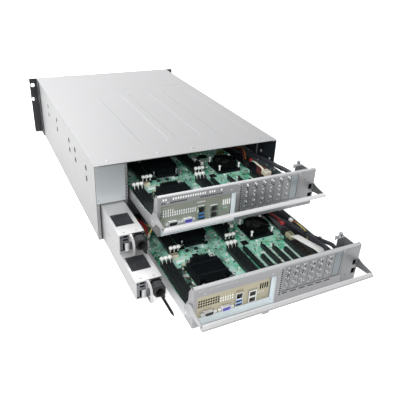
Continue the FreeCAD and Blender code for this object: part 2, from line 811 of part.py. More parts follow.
    # cables between the latch bracket and the front edge of the tray
    runs = []
    ypv, zbv = yp.value, zb.value
    for k, (dx, dz) in enumerate(((0.0, 0.0), (-9.0, 2.0), (-3.0, 8.5))):
        runs.append(
            wire(
                "%s_wire_%d" % (tag, k),
                [
                    (-176.0 + dx, ypv - 96.0, zbv + 6.0 + dz),
                    (-177.0 + dx, ypv - 150.0, zbv + 9.0 + dz),
                    (-184.0 + dx, ypv - 205.0, zbv + 8.0 + dz),
                    (-186.0 + dx, ypv - 262.0, zbv + 12.0 + dz),
                    (-181.0 + dx, ypv - 320.0, zbv + 9.0 + dz),
                    (-183.0 + dx, ypv - 378.0, zbv + 8.0 + dz),
                    (-176.0 + dx, ypv - 425.0, zbv + 7.0 + dz),
                ],
                VALUES["wire_radius"],
            )
        )
    node(gather(tag + "_harness_set", runs), tag + "_cable_harness")

    # pull handle: bar and two arched arms with pivot stubs
    arm, gap = dim("grip_arm"), dim("grip_gap")
    bar_y, bar_z = dim("grip_bar_y"), dim("grip_bar_z")
    oy, oz = dim("pivot_back") + dim("grip_out"), dim("grip_up") - dim("pivot_up")
    arch = [
        (-8.2, 0.4), (-6.6, -5.8), (-2, -9), (4, -8.6), (9, -6), (21, 6.6), (26, 8.2), (33, 9), (45, 9.7), (oy - 5, oz - bar_z / 2),
        (oy, oz - bar_z / 2), (oy, oz + bar_z / 2), (oy - 5, oz + bar_z / 2 + 0.4), (51, 20), (41, 21.4), (26, 24.2), (21.3, 26.8),
        (15, 26.6), (9, 24.9), (2, 19), (-6, 10), (-7.8, 6),
    ]
    right = plate(tag + "_arm_right", "YZ_Plane", arch, arm, xr - gap - arm, piv_y, piv_z)
    left = plate(tag + "_arm_left", "YZ_Plane", arch, arm, xl + gap, piv_y, piv_z)
    bar = box(
        tag + "_grip_block", xr - gap - arm, xl + gap + arm,
        yp + dim("grip_out") - bar_y / 2, yp + dim("grip_out") + bar_y / 2,
        zb + dim("grip_up") - bar_z / 2, zb + dim("grip_up") + bar_z / 2,
    )
    doc.recompute()
    rounded = doc.addObject("Part::Fillet", tag + "_grip_bar")
    rounded.Base = bar
    rounded.Edges = [
        (i + 1, VALUES["grip_round"], VALUES["grip_round"])
        for i, edge in enumerate(bar.Shape.Edges)
        if abs(edge.tangentAt(edge.FirstParameter).x) > 0.9
    ]
    stub = dim("pivot_radius")
    node(
        fuse(
            tag + "_handle",
            [
                rounded, right, left,
                box(
                    tag + "_grip_tab", 19.5, 32.5, yp + dim("grip_out") - 1.5, yp + dim("grip_out") + 1.5,
                    zb + dim("grip_up") - bar_z / 2 - 8.5, zb + dim("grip_up"),
                ),
                rod(tag + "_stub_right", "x", xr - gap - arm / 2, piv_y, piv_z, stub, arm / 2 + gap + T + 1),
                rod(tag + "_stub_left", "x", xl - T - 1, piv_y, piv_z, stub, arm / 2 + gap + T + 1),
            ],
        ),
        tag + "_tray_handle",
    )


tray("upper", "upper_panel_y", "upper_tray_z")
tray("lower", "lower_panel_y", "lower_tray_z")


# ---------------------------------------------------------------- power supplies
def supply(tag, rear_y, low_z, strap_length):
    yr, z0 = dim(rear_y), dim(low_z)
    x0 = dim("supply_left_x")
    x1 = x0 + dim("supply_width")
    z1 = z0 + dim("supply_height")
    skin = dim("supply_skin")
    front = yr - dim("supply_length")

    case = cut(
        tag + "_case_cut",
        box(tag + "_case_block", x0, x1, front, yr, z0, z1),
        [
            fuse(
                tag + "_case_tools",
                [
                    box(tag + "_case_inside", x0 + skin, x1 - skin, front + skin, yr - skin, z0 + skin, z1 - skin),
                    box(tag + "_case_window", 166.5, 205.0, yr - 78, yr - 31.5, z1 - 5, z1 + 5),
                    box(tag + "_case_vent_a", 191.8, 201.2, yr - 5, yr + 5, z0 + 32.2, z0 + 36.4),
                    box(tag + "_case_vent_b", 191.8, 201.2, yr - 5, yr + 5, z0 + 25, z0 + 29),
                    box(tag + "_case_vent_c", 198.6, 202.0, yr - 5, yr + 5, z0 + 3, z0 + 20),
                    rod(tag + "_case_vent_d", "y", 205.2, yr - 5, z0 + 33.6, 1.7, 10),
                    box(tag + "_case_latch_slot", 188.9, 196.6, yr - 5, yr + 5, z0 + 8.4, z0 + 16.6),
                    box(tag + "_case_inlet_hole", 161.5, 181.5, yr - 5, yr + 5, z0 + 8, z0 + 36),
                ],
            )
        ],
    )
    bridge = box(tag + "_fan_bridge", x0 + skin, x1 - skin, yr - 42, yr - 40, z0 + 16, z0 + 24)
    node(fuse(tag + "_case", [case, bridge]), tag + "_supply_case")

    outer = [
        (0, 39), (6, 38.6), (12, 36.8), (17, 33.4), (20.4, 28.6), (22, 22), (22.6, 13), (22.6, 4), (21.4, 1.6), (19, 0.8), (0, 0.8),
    ]
    inside = [
        (0, 2.8), (18.6, 2.8), (20, 3.4), (20.6, 4.8), (20.6, 12.8), (20.1, 21.6), (18.6, 27.8), (15.6, 32), (11.2, 35), (5.7, 36.6), (0, 37),
    ]
    node(plate(tag + "_grip", "YZ_Plane", outer + inside, 4.4, 184.4, yr, z0), tag + "_supply_handle")

    node(
        fuse(
            tag + "_release",
            [
                box(tag + "_release_tab", 191.0, 198.0, yr + 0.4, yr + 7, z0 + 4, z0 + 20),
                box(tag + "_release_stem", 192.0, 196.2, yr - 6, yr + 0.4, z0 + 9, z0 + 16),
                box(tag + "_release_hook", 189.6, 198.4, yr - 7.5, yr - 6, z0 + 7, z0 + 18),
            ],
        ),
        tag + "_supply_latch",
    )

    node(
        rotor(tag + "_blower", 184.0, yr - 62.6, z0 + 20, 8.0, 16.5, 20.0, 14.0, 1.5, 5, 40.0),
        tag + "_supply_fan",
    )

    inlet = cut(
        tag + "_inlet_cut",
        fuse(
            tag + "_inlet_blank",
            [
                box(tag + "_inlet_body", 161.5, 181.5, yr - 18, yr, z0 + 8, z0 + 36),
                box(tag + "_inlet_flange", 160.0, 183.2, yr, yr + 2, z0 + 5.5, z0 + 39.2),
            ],
        ),
        [box(tag + "_inlet_recess", 164.0, 179.0, yr - 14, yr + 3, z0 + 11.5, z0 + 32.5)],
    )
    pins = [
        box("%s_inlet_pin_%d" % (tag, i), x - 1.0, x + 1.0, yr - 14, yr - 6, z0 + z - 2.2, z0 + z + 2.2)
        for i, (x, z) in enumerate(((168.0, 15.5), (174.0, 22.0), (168.0, 28.5)))
    ]
    out = dim(strap_length)
    strap = plate(
        tag + "_strap", "XY_Plane",
        [(0, 0), (5, 0), (5, out - 7), (3.4, out), (1.6, out), (0, out - 7)], 1.6, 162.6, yr + 2, z0 + 6.7,
    )
    ring = cut(
        tag + "_clamp",
        fuse(
            tag + "_clamp_blank",
            [
                plate(
                    tag + "_clamp_ring", "XZ_Plane",
                    [(-11.2, -5.6), (-6.4, -11), (6.4, -11), (11.2, -5.6), (11.2, 6.4), (6.4, 11.8), (-6.4, 11.8), (-11.2, 6.4)],
                    20.0, 171.6, yr + 24.5, z0 + 24.4,
                ),
                box(tag + "_clamp_lug", 161.6, 168.6, yr + 6, yr + 24.5, z0 + 8.3, z0 + 18),
            ],
        ),
        [rod(tag + "_clamp_bore", "y", 171.6, yr, z0 + 24.4, 8.6, 40.0)],
    )
    node(gather(tag + "_inlet_set", [inlet] + pins + [strap, ring]), tag + "_supply_inlet")


supply("upper", "upper_supply_y", "upper_supply_z", "upper_strap")
supply("lower", "lower_supply_y", "lower_supply_z", "lower_strap")

# ---------------------------------------------------------------- write
doc.recompute()
for obj in doc.Objects:
    if "Invalid" in obj.State or "Error" in obj.State:
        raise RuntimeError("%s (%s) failed: %s" % (obj.Name, obj.Label, obj.State))
labels = [obj.Label for obj in NODES]
if len(set(labels)) != len(labels) or len(labels) > 60:
    raise RuntimeError("the node names are not unique, or are too many: %d" % len(labels))
for obj in NODES:
    shape = obj.Shape
    if shape.isNull() or not shape.isValid() or not shape.Solids:
        raise RuntimeError("%s has no valid solid" % obj.Label)
os.makedirs("parts", exist_ok=True)
for name in os.listdir("parts"):
    if name.endswith(".step") and name[:-5] not in labels:
        os.remove(os.path.join("parts", name))
for obj in NODES:
    obj.Shape.exportStep("parts/%s.step" % obj.Label)
    box_ = obj.Shape.BoundBox
    print(
        "%-24s solids %3d volume %9.0f  x %.1f..%.1f y %.1f..%.1f z %.1f..%.1f"
        % (obj.Label, len(obj.Shape.Solids), obj.Shape.Volume, box_.XMin, box_.XMax, box_.YMin, box_.YMax, box_.ZMin, box_.ZMax)
    )
print(len(NODES), "nodes")
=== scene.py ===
import math
import random

import bmesh
import bpy
from mathutils import Matrix, Vector
from mathutils.geometry import delaunay_2d_cdt


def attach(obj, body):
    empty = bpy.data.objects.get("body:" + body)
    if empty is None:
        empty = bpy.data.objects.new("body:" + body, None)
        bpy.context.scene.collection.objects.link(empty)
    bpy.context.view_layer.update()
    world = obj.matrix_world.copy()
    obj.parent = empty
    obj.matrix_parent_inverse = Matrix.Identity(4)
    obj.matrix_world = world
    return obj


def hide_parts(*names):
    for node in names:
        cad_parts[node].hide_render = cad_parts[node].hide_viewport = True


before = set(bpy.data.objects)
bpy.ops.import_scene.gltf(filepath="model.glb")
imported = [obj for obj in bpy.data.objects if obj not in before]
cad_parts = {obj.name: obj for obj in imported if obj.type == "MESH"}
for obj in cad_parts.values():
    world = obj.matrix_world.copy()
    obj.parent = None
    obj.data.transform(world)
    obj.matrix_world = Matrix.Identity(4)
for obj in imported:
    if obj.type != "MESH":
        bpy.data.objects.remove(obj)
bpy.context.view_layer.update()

MM = 0.001
scene = bpy.context.scene

# Main places, millimetres: tray panel faces and undersides, power supply rear faces and undersides.
TRAYS = {"upper": (511.0, 88.2), "lower": (674.0, 1.6)}
SUPPLIES = {"upper": (474.0, 44.2), "lower": (568.0, 2.2)}


# =============================================================== materials
def linear(rgb):
    return tuple((c / 12.92 if c <= 0.04045 else ((c + 0.055) / 1.055) ** 2.4) for c in rgb)


def srgb(r, g, b):
    return linear((r / 255.0, g / 255.0, b / 255.0))


class Nodes:
    def __init__(self, name):
        self.mat = bpy.data.materials.new(name)
        self.mat.use_nodes = True
        self.tree = self.mat.node_tree
        self.tree.nodes.clear()
        self.out = self.tree.nodes.new("ShaderNodeOutputMaterial")
        self.bsdf = self.tree.nodes.new("ShaderNodeBsdfPrincipled")
        self.tree.links.new(self.bsdf.outputs[0], self.out.inputs[0])

    def new(self, kind, **values):
        node = self.tree.nodes.new(kind)
        for key, value in values.items():
            setattr(node, key, value)
        return node

    def link(self, a, b):
        self.tree.links.new(a, b)

    def coords(self, scale=(1, 1, 1), rotation=(0, 0, 0)):
        tex = self.new("ShaderNodeTexCoord")
        mapping = self.new("ShaderNodeMapping")
        mapping.inputs["Scale"].default_value = scale
        mapping.inputs["Rotation"].default_value = rotation
        self.link(tex.outputs["Object"], mapping.inputs["Vector"])
        return mapping.outputs["Vector"]

    def noise(self, vector, scale, detail=3.0, rough=0.55):
        node = self.new("ShaderNodeTexNoise")
        node.inputs["Scale"].default_value = scale
        node.inputs["Detail"].default_value = detail
        node.inputs["Roughness"].default_value = rough
        self.link(vector, node.inputs["Vector"])
        return node.outputs["Fac"]

    def ramp(self, value, stops):
        node = self.new("ShaderNodeValToRGB")
        ramp = node.color_ramp
        while len(ramp.elements) > 1:
            ramp.elements.remove(ramp.elements[-1])
        ramp.elements[0].position = stops[0][0]
        ramp.elements[0].color = (*stops[0][1], 1)
        for position, color in stops[1:]:
            ramp.elements.new(position).color = (*color, 1)
        self.link(value, node.inputs["Fac"])
        return node.outputs["Color"]

    def span(self, value, low, high, start=0.0, end=1.0):
        node = self.new("ShaderNodeMapRange")
        node.inputs["From Min"].default_value = start
        node.inputs["From Max"].default_value = end
        node.inputs["To Min"].default_value = low
        node.inputs["To Max"].default_value = high
        self.link(value, node.inputs["Value"])
        return node.outputs["Result"]

    def mix(self, fac, a, b, blend="MIX"):
        node = self.new("ShaderNodeMix", data_type="RGBA", blend_type=blend)
        for socket, value in ((node.inputs["Factor"], fac), (node.inputs[6], a), (node.inputs[7], b)):
            if isinstance(value, bpy.types.NodeSocket):
                self.link(value, socket)
            elif isinstance(value, (int, float)):
                socket.default_value = value
            else:
                socket.default_value = (*value, 1)
        return node.outputs[2]

    def math(self, operation, a, b=0.0):
        node = self.new("ShaderNodeMath", operation=operation)
        for socket, value in ((node.inputs[0], a), (node.inputs[1], b)):
            if isinstance(value, bpy.types.NodeSocket):
                self.link(value, socket)
            else:
                socket.default_value = value
        return node.outputs[0]

    def bump(self, height, strength, distance):
        node = self.new("ShaderNodeBump")
        node.inputs["Strength"].default_value = strength
        node.inputs["Distance"].default_value = distance
        self.link(height, node.inputs["Height"])
        self.link(node.outputs["Normal"], self.bsdf.inputs["Normal"])

    def finish(self, color=None, rough=None, metallic=0.0, **fixed):
        for key, value in (("Base Color", color), ("Roughness", rough)):
            if value is None:
                continue
            socket = self.bsdf.inputs[key]
            if isinstance(value, bpy.types.NodeSocket):
                self.link(value, socket)
            elif isinstance(value, (int, float)):
                socket.default_value = value
            else:
                socket.default_value = (*value, 1)
        self.bsdf.inputs["Metallic"].default_value = metallic
        for key, value in fixed.items():
            self.bsdf.inputs[key.replace("_", " ")].default_value = value
        return self.mat


def shade(color, k):
    return tuple(min(1.0, c * k) for c in color)


def sheet_metal(name, color, rough=0.38, metallic=0.85, streak=(1.0, 60.0, 60.0), spread=0.05, bump=0.05, painted_shade_ramp=None):
    """Zinc-plated or satin sheet: clouding, fine rolled streaks and a small spangle."""
    n = Nodes(name)
    plain = n.coords()
    rolled = n.coords(scale=streak)
    cloud = n.noise(plain, 7.0, 3.0)
    grain = n.noise(rolled, 28.0, 4.0, 0.65)
    speck = n.noise(plain, 900.0, 2.0)
    base = n.mix(cloud, shade(color, 1 - spread), shade(color, 1 + spread))
    streaks = n.ramp(grain, [(0.3, (0.93, 0.93, 0.935)), (0.7, (1.0, 1.0, 1.0))])
    base = n.mix(1.0, base, streaks, "MULTIPLY")
    dots = n.ramp(speck, [(0.35, (0.96, 0.96, 0.965)), (0.65, (1.0, 1.0, 1.0))])
    base = n.mix(1.0, base, dots, "MULTIPLY")
    if painted_shade_ramp:
        # painted shade: the tone is multiplied from lighter at the foot to darker at the head of the sheet, standing in
        # for light bounced up from below
        z0, z1, k0, k1 = painted_shade_ramp
        part = n.new("ShaderNodeSeparateXYZ")
        n.link(plain, part.inputs["Vector"])
        rise = n.new("ShaderNodeMapRange")
        for socket, value in zip(("From Min", "From Max", "To Min", "To Max"), (z0, z1, 0.0, 1.0)):
            rise.inputs[socket].default_value = value
        n.link(part.outputs["Z"], rise.inputs["Value"])
        base = n.mix(1.0, base, n.ramp(rise.outputs["Result"], [(0.0, (k0, k0, k0)), (1.0, (k1, k1, k1))]), "MULTIPLY")
    roughness = n.math("ADD", n.span(grain, rough - 0.07, rough + 0.07), n.span(cloud, -0.04, 0.04))
    n.bump(n.math("ADD", grain, n.math("MULTIPLY", speck, 0.5)), bump, 0.0002)
    return n.finish(base, roughness, metallic)


def moulded(name, color, rough=0.5, spread=0.12, grain=700.0, bump=0.12, level=0.5):
    """Moulded plastic: a fine spark-eroded skin with slight flow marks."""
    n = Nodes(name)
    plain = n.coords()
    cloud = n.noise(plain, 45.0, 3.0)
    skin = n.noise(plain, grain, 3.0, 0.6)
    base = n.mix(cloud, shade(color, 1 - spread), shade(color, 1 + spread))
    roughness = n.math("ADD", n.span(skin, rough - 0.08, rough + 0.08), n.span(cloud, -0.05, 0.05))
    n.bump(skin, bump, 0.0001)
    return n.finish(base, roughness, 0.0, Specular_IOR_Level=level)


def solder_mask(name, dark, mid, light):
    """Green board: ground areas of several depths, bundles of tracks that change direction from patch to patch, pale pads and vias."""
    n = Nodes(name)
    plain = n.coords()
    cells = n.new("ShaderNodeTexVoronoi", distance="MANHATTAN", feature="F1")
    cells.inputs["Scale"].default_value = 48.0
    n.link(plain, cells.inputs["Vector"])
    pick = n.new("ShaderNodeSeparateColor")
    n.link(cells.outputs["Color"], pick.inputs["Color"])
    bands = []
    for rotation in ((0, 0, 0), (0, 0, math.radians(90)), (0, 0, math.radians(45))):
        wave = n.new("ShaderNodeTexWave", wave_type="BANDS", bands_direction="X", wave_profile="SIN")
        wave.inputs["Scale"].default_value = 125.0
        wave.inputs["Distortion"].default_value = 0.0
        n.link(n.coords(rotation=rotation), wave.inputs["Vector"])
        bands.append(wave.outputs["Fac"])
    first = n.math("GREATER_THAN", pick.outputs["Red"], 0.42)
    second = n.math("GREATER_THAN", pick.outputs["Green"], 0.62)
    track = n.mix(first, bands[0], bands[1])
    track = n.mix(second, track, bands[2])
    track = n.ramp(track, [(0.55, (0, 0, 0)), (0.68, (1, 1, 1))])
    routed = n.math("GREATER_THAN", pick.outputs["Blue"], 0.4)
    holes = n.new("ShaderNodeTexVoronoi", feature="F1")
    holes.inputs["Scale"].default_value = 330.0
    n.link(plain, holes.inputs["Vector"])
    via = n.math("LESS_THAN", holes.outputs["Distance"], 0.16)
    lands = n.new("ShaderNodeTexVoronoi", distance="CHEBYCHEV", feature="F1")
    lands.inputs["Scale"].default_value = 150.0
    n.link(plain, lands.inputs["Vector"])
    land = n.math("LESS_THAN", lands.outputs["Distance"], 0.17)
    ground = n.noise(plain, 34.0, 3.0, 0.6)
    base = n.ramp(ground, [(0.36, dark), (0.48, mid), (0.62, light)])
    bright = n.mix(0.6, base, shade(light, 1.25))
    base = n.mix(n.math("MULTIPLY", track, routed), base, bright)
    base = n.mix(n.math("MULTIPLY", via, 0.75), base, (0.42, 0.55, 0.44))
    base = n.mix(n.math("MULTIPLY", land, 0.9), base, (0.78, 0.86, 0.82))
    height = n.math("ADD", n.math("MULTIPLY", track, routed), n.math("ADD", via, land))
    n.bump(height, 0.25, 0.00008)
    roughness = n.span(n.noise(plain, 300.0, 2.0), 0.28, 0.42)
    return n.finish(base, roughness, 0.0, Specular_IOR_Level=0.5)


def cable_skin(name, color, pitch=900.0, rough=0.62, braid=True):
    n = Nodes(name)
    plain = n.coords()
    cloud = n.noise(plain, 60.0, 2.0)
    weave = n.new("ShaderNodeTexChecker")
    weave.inputs["Scale"].default_value = pitch
    weave.inputs["Color1"].default_value = (1, 1, 1, 1)
    weave.inputs["Color2"].default_value = (0.55, 0.55, 0.55, 1) if braid else (0.92, 0.92, 0.92, 1)
    n.link(n.coords(rotation=(0.6, 0.4, 0.78)), weave.inputs["Vector"])
    base = n.mix(cloud, shade(color, 0.85), shade(color, 1.15))
    base = n.mix(1.0, base, weave.outputs["Color"], "MULTIPLY")
    n.bump(weave.outputs["Fac"], 0.2 if braid else 0.05, 0.0001)
    return n.finish(base, n.span(cloud, rough - 0.06, rough + 0.08), 0.0)


M = {
    "zinc_top": sheet_metal("zinc_top", srgb(156, 156, 157), 0.5, 0.3, (60.0, 1.0, 60.0), 0.02, 0.03),
    "zinc_side": sheet_metal("zinc_side", srgb(149, 149, 150), 0.42, 0.55, (60.0, 1.0, 60.0), 0.02, 0.03),
    "zinc_inner": sheet_metal("zinc_inner", srgb(150, 154, 160), 0.4, 0.8, (60.0, 1.0, 60.0), 0.05, 0.04),
    # blank: a painted shade ramp, lighter at the foot of the panel and darker at its head
    "blank": sheet_metal("blank", srgb(178, 183, 185), 0.36, 0.3, (1.0, 60.0, 60.0), 0.04, 0.04, (0.1, 0.17, 1.28, 0.75)),
    "panel": sheet_metal("panel", srgb(157, 157, 159), 0.44, 0.7, (1.0, 60.0, 60.0), 0.06, 0.08),
    # cover: a darker copy of the panel sheet, painted shade for the recessed slot covers, the right-end plate and the
    # right handle arm
    "cover": sheet_metal("cover", srgb(139, 140, 141), 0.44, 0.7, (60.0, 60.0, 1.0), 0.06, 0.08),
    "strip": sheet_metal("strip", srgb(130, 137, 140), 0.34, 0.85, (60.0, 60.0, 1.0), 0.05, 0.04),
    "pan": sheet_metal("pan", srgb(190, 191, 193), 0.4, 0.75, (60.0, 1.0, 60.0), 0.04, 0.04),
    # bay: painted light, a near-white copy of the panel sheet for the port bay
    "bay": sheet_metal("bay", srgb(226, 234, 237), 0.36, 0.2, (1.0, 60.0, 60.0), 0.04, 0.04),
    "shield": sheet_metal("shield", srgb(176, 170, 148), 0.36, 0.7, (1.0, 60.0, 60.0), 0.06, 0.05),
    "shield_grey": sheet_metal("shield_grey", srgb(184, 188, 176), 0.36, 0.6, (1.0, 60.0, 60.0), 0.08, 0.05),
    "handle": sheet_metal("handle", srgb(166, 166, 167), 0.42, 0.05, (1.0, 70.0, 70.0), 0.03, 0.04),
    # painted highlight: a lighter copy of the handle sheet for the lower bar's eased top edge
    "bar_mid": sheet_metal("bar_mid", srgb(198, 198, 199), 0.42, 0.05, (1.0, 70.0, 70.0), 0.03, 0.04),
    # painted highlight: a lighter copy of the panel sheet for the top fold
    "fold": sheet_metal("fold", srgb(186, 187, 188), 0.42, 0.45, (1.0, 70.0, 70.0), 0.04, 0.05),
    "arm": sheet_metal("arm", srgb(168, 168, 169), 0.42, 0.4, (60.0, 1.0, 60.0), 0.03, 0.04),
    # painted light: a lighter copy of the handle sheet for the upper handle and every bar's top
    "handle_up": sheet_metal("handle_up", srgb(220, 220, 221), 0.42, 0.05, (1.0, 70.0, 70.0), 0.03, 0.04),
    "supply": sheet_metal("supply", srgb(206, 206, 206), 0.42, 0.5, (60.0, 1.0, 60.0), 0.02, 0.03),
    # painted shade: the supply case's sheet in a darker copy for its sides
    "supply_side": sheet_metal("supply_side", srgb(168, 168, 169), 0.42, 0.5, (60.0, 1.0, 60.0), 0.02, 0.03),
    "supply_face": sheet_metal("supply_face", srgb(120, 121, 125), 0.4, 0.7, (1.0, 60.0, 60.0), 0.06, 0.05),
    "bright": sheet_metal("bright", srgb(238, 239, 240), 0.3, 0.35, (30.0, 30.0, 30.0), 0.03, 0.03),
    "steel": sheet_metal("steel", srgb(190, 191, 193), 0.26, 1.0, (30.0, 30.0, 30.0), 0.04, 0.05),
    "tin": sheet_metal("tin", srgb(214, 214, 213), 0.3, 1.0, (30.0, 30.0, 30.0), 0.04, 0.03),
    "gold": sheet_metal("gold", srgb(222, 178, 84), 0.28, 1.0, (30.0, 30.0, 30.0), 0.06, 0.03),
    "bronze": sheet_metal("bronze", srgb(74, 58, 42), 0.5, 0.3, (30.0, 30.0, 30.0), 0.08, 0.03),
    "black_metal": sheet_metal("black_metal", srgb(34, 35, 38), 0.5, 0.1, (40.0, 40.0, 1.0), 0.1, 0.06),
    "black_fin": moulded("black_fin", srgb(17, 22, 25), 0.6, 0.15, 900.0, 0.1, 0.15),
    "board": solder_mask("board", srgb(22, 120, 90), srgb(92, 214, 170), srgb(206, 253, 238)),
    "black": moulded("black", srgb(15, 18, 19), 0.5),
    "slot_black": moulded("slot_black", srgb(27, 33, 34), 0.45),
    "matt_black": moulded("matt_black", srgb(27, 27, 29), 0.62),
    "void": moulded("void", srgb(7, 7, 8), 0.9, 0.1, 700.0, 0.05, 0.1),
    "smoke": moulded("smoke", srgb(46, 47, 51), 0.7, 0.45, 900.0, 0.1, 0.3),
    "gauze": moulded("gauze", srgb(49, 50, 54), 0.7, 0.95, 900.0, 0.1, 0.3),
    "chip": moulded("chip", srgb(24, 26, 28), 0.4, 0.1, 1500.0, 0.05),
    "white": moulded("white", srgb(253, 253, 251), 0.42, 0.02),
    "ivory": moulded("ivory", srgb(226, 218, 196), 0.45, 0.04),
    "print": moulded("print", srgb(222, 247, 236), 0.6, 0.03),
    "grey": moulded("grey", srgb(168, 170, 172), 0.48, 0.05),
    "light_grey": moulded("light_grey", srgb(205, 206, 206), 0.45, 0.04),
    "dark_grey": moulded("dark_grey", srgb(60, 62, 64), 0.5, 0.08),
    "blue": moulded("blue", srgb(56, 128, 208), 0.4, 0.06),
    "violet": moulded("violet", srgb(92, 86, 196), 0.4, 0.06),
    "tan": moulded("tan", srgb(176, 140, 96), 0.5, 0.1),
    "green_lamp": moulded("green_lamp", srgb(70, 200, 110), 0.25, 0.05),
    "blue_lamp": moulded("blue_lamp", srgb(70, 130, 220), 0.25, 0.05),
    "sleeve": cable_skin("sleeve", srgb(46, 48, 56), 420.0),
    "film_grey": moulded("film_grey", srgb(92, 101, 106), 0.42, 0.12, 300.0, 0.1, 0.4),
    "partition": sheet_metal("partition", srgb(58, 64, 74), 0.42, 0.6, (60.0, 1.0, 60.0), 0.06, 0.04),
    "film": moulded("film", srgb(38, 42, 48), 0.38, 0.25, 300.0, 0.1, 0.4),
    "olive": moulded("olive", srgb(176, 172, 140), 0.5, 0.08),
    "maroon": moulded("maroon", srgb(104, 44, 44), 0.5, 0.1),
    "cream_wire": cable_skin("cream_wire", srgb(248, 247, 242), 500.0, 0.5, False),
    "red_wire": cable_skin("red_wire", srgb(176, 46, 50), 500.0, 0.45, False),
    "orange_wire": cable_skin("orange_wire", srgb(196, 116, 62), 500.0, 0.45, False),
    "yellow_wire": cable_skin("yellow_wire", srgb(224, 206, 112), 500.0, 0.45, False),
    "black_wire": cable_skin("black_wire", srgb(28, 28, 30), 500.0, 0.45, False),
    "white_wire": cable_skin("white_wire", srgb(236, 236, 234), 500.0, 0.45, False),
}


# =============================================================== mesh building (millimetres)
def circle(u, v, r, n=18, turn=0.0):
    return [(u + r * math.cos(turn + 2 * math.pi * i / n), v + r * math.sin(turn + 2 * math.pi * i / n)) for i in range(n)]


def rounded(u0, u1, v0, v1, r, n=4):
    if r <= 0:
        return [(u0, v0), (u1, v0), (u1, v1), (u0, v1)]
    points = []
    for cu, cv, start in ((u1 - r, v0 + r, -90), (u1 - r, v1 - r, 0), (u0 + r, v1 - r, 90), (u0 + r, v0 + r, 180)):
        for i in range(n + 1):
            a = math.radians(start + 90.0 * i / n)
            points.append((cu + r * math.cos(a), cv + r * math.sin(a)))
    return points


AXES = {"x": 0, "y": 1, "z": 2}
PLANES = {"xy": (0, 1, 2), "xz": (0, 2, 1), "yz": (1, 2, 0)}


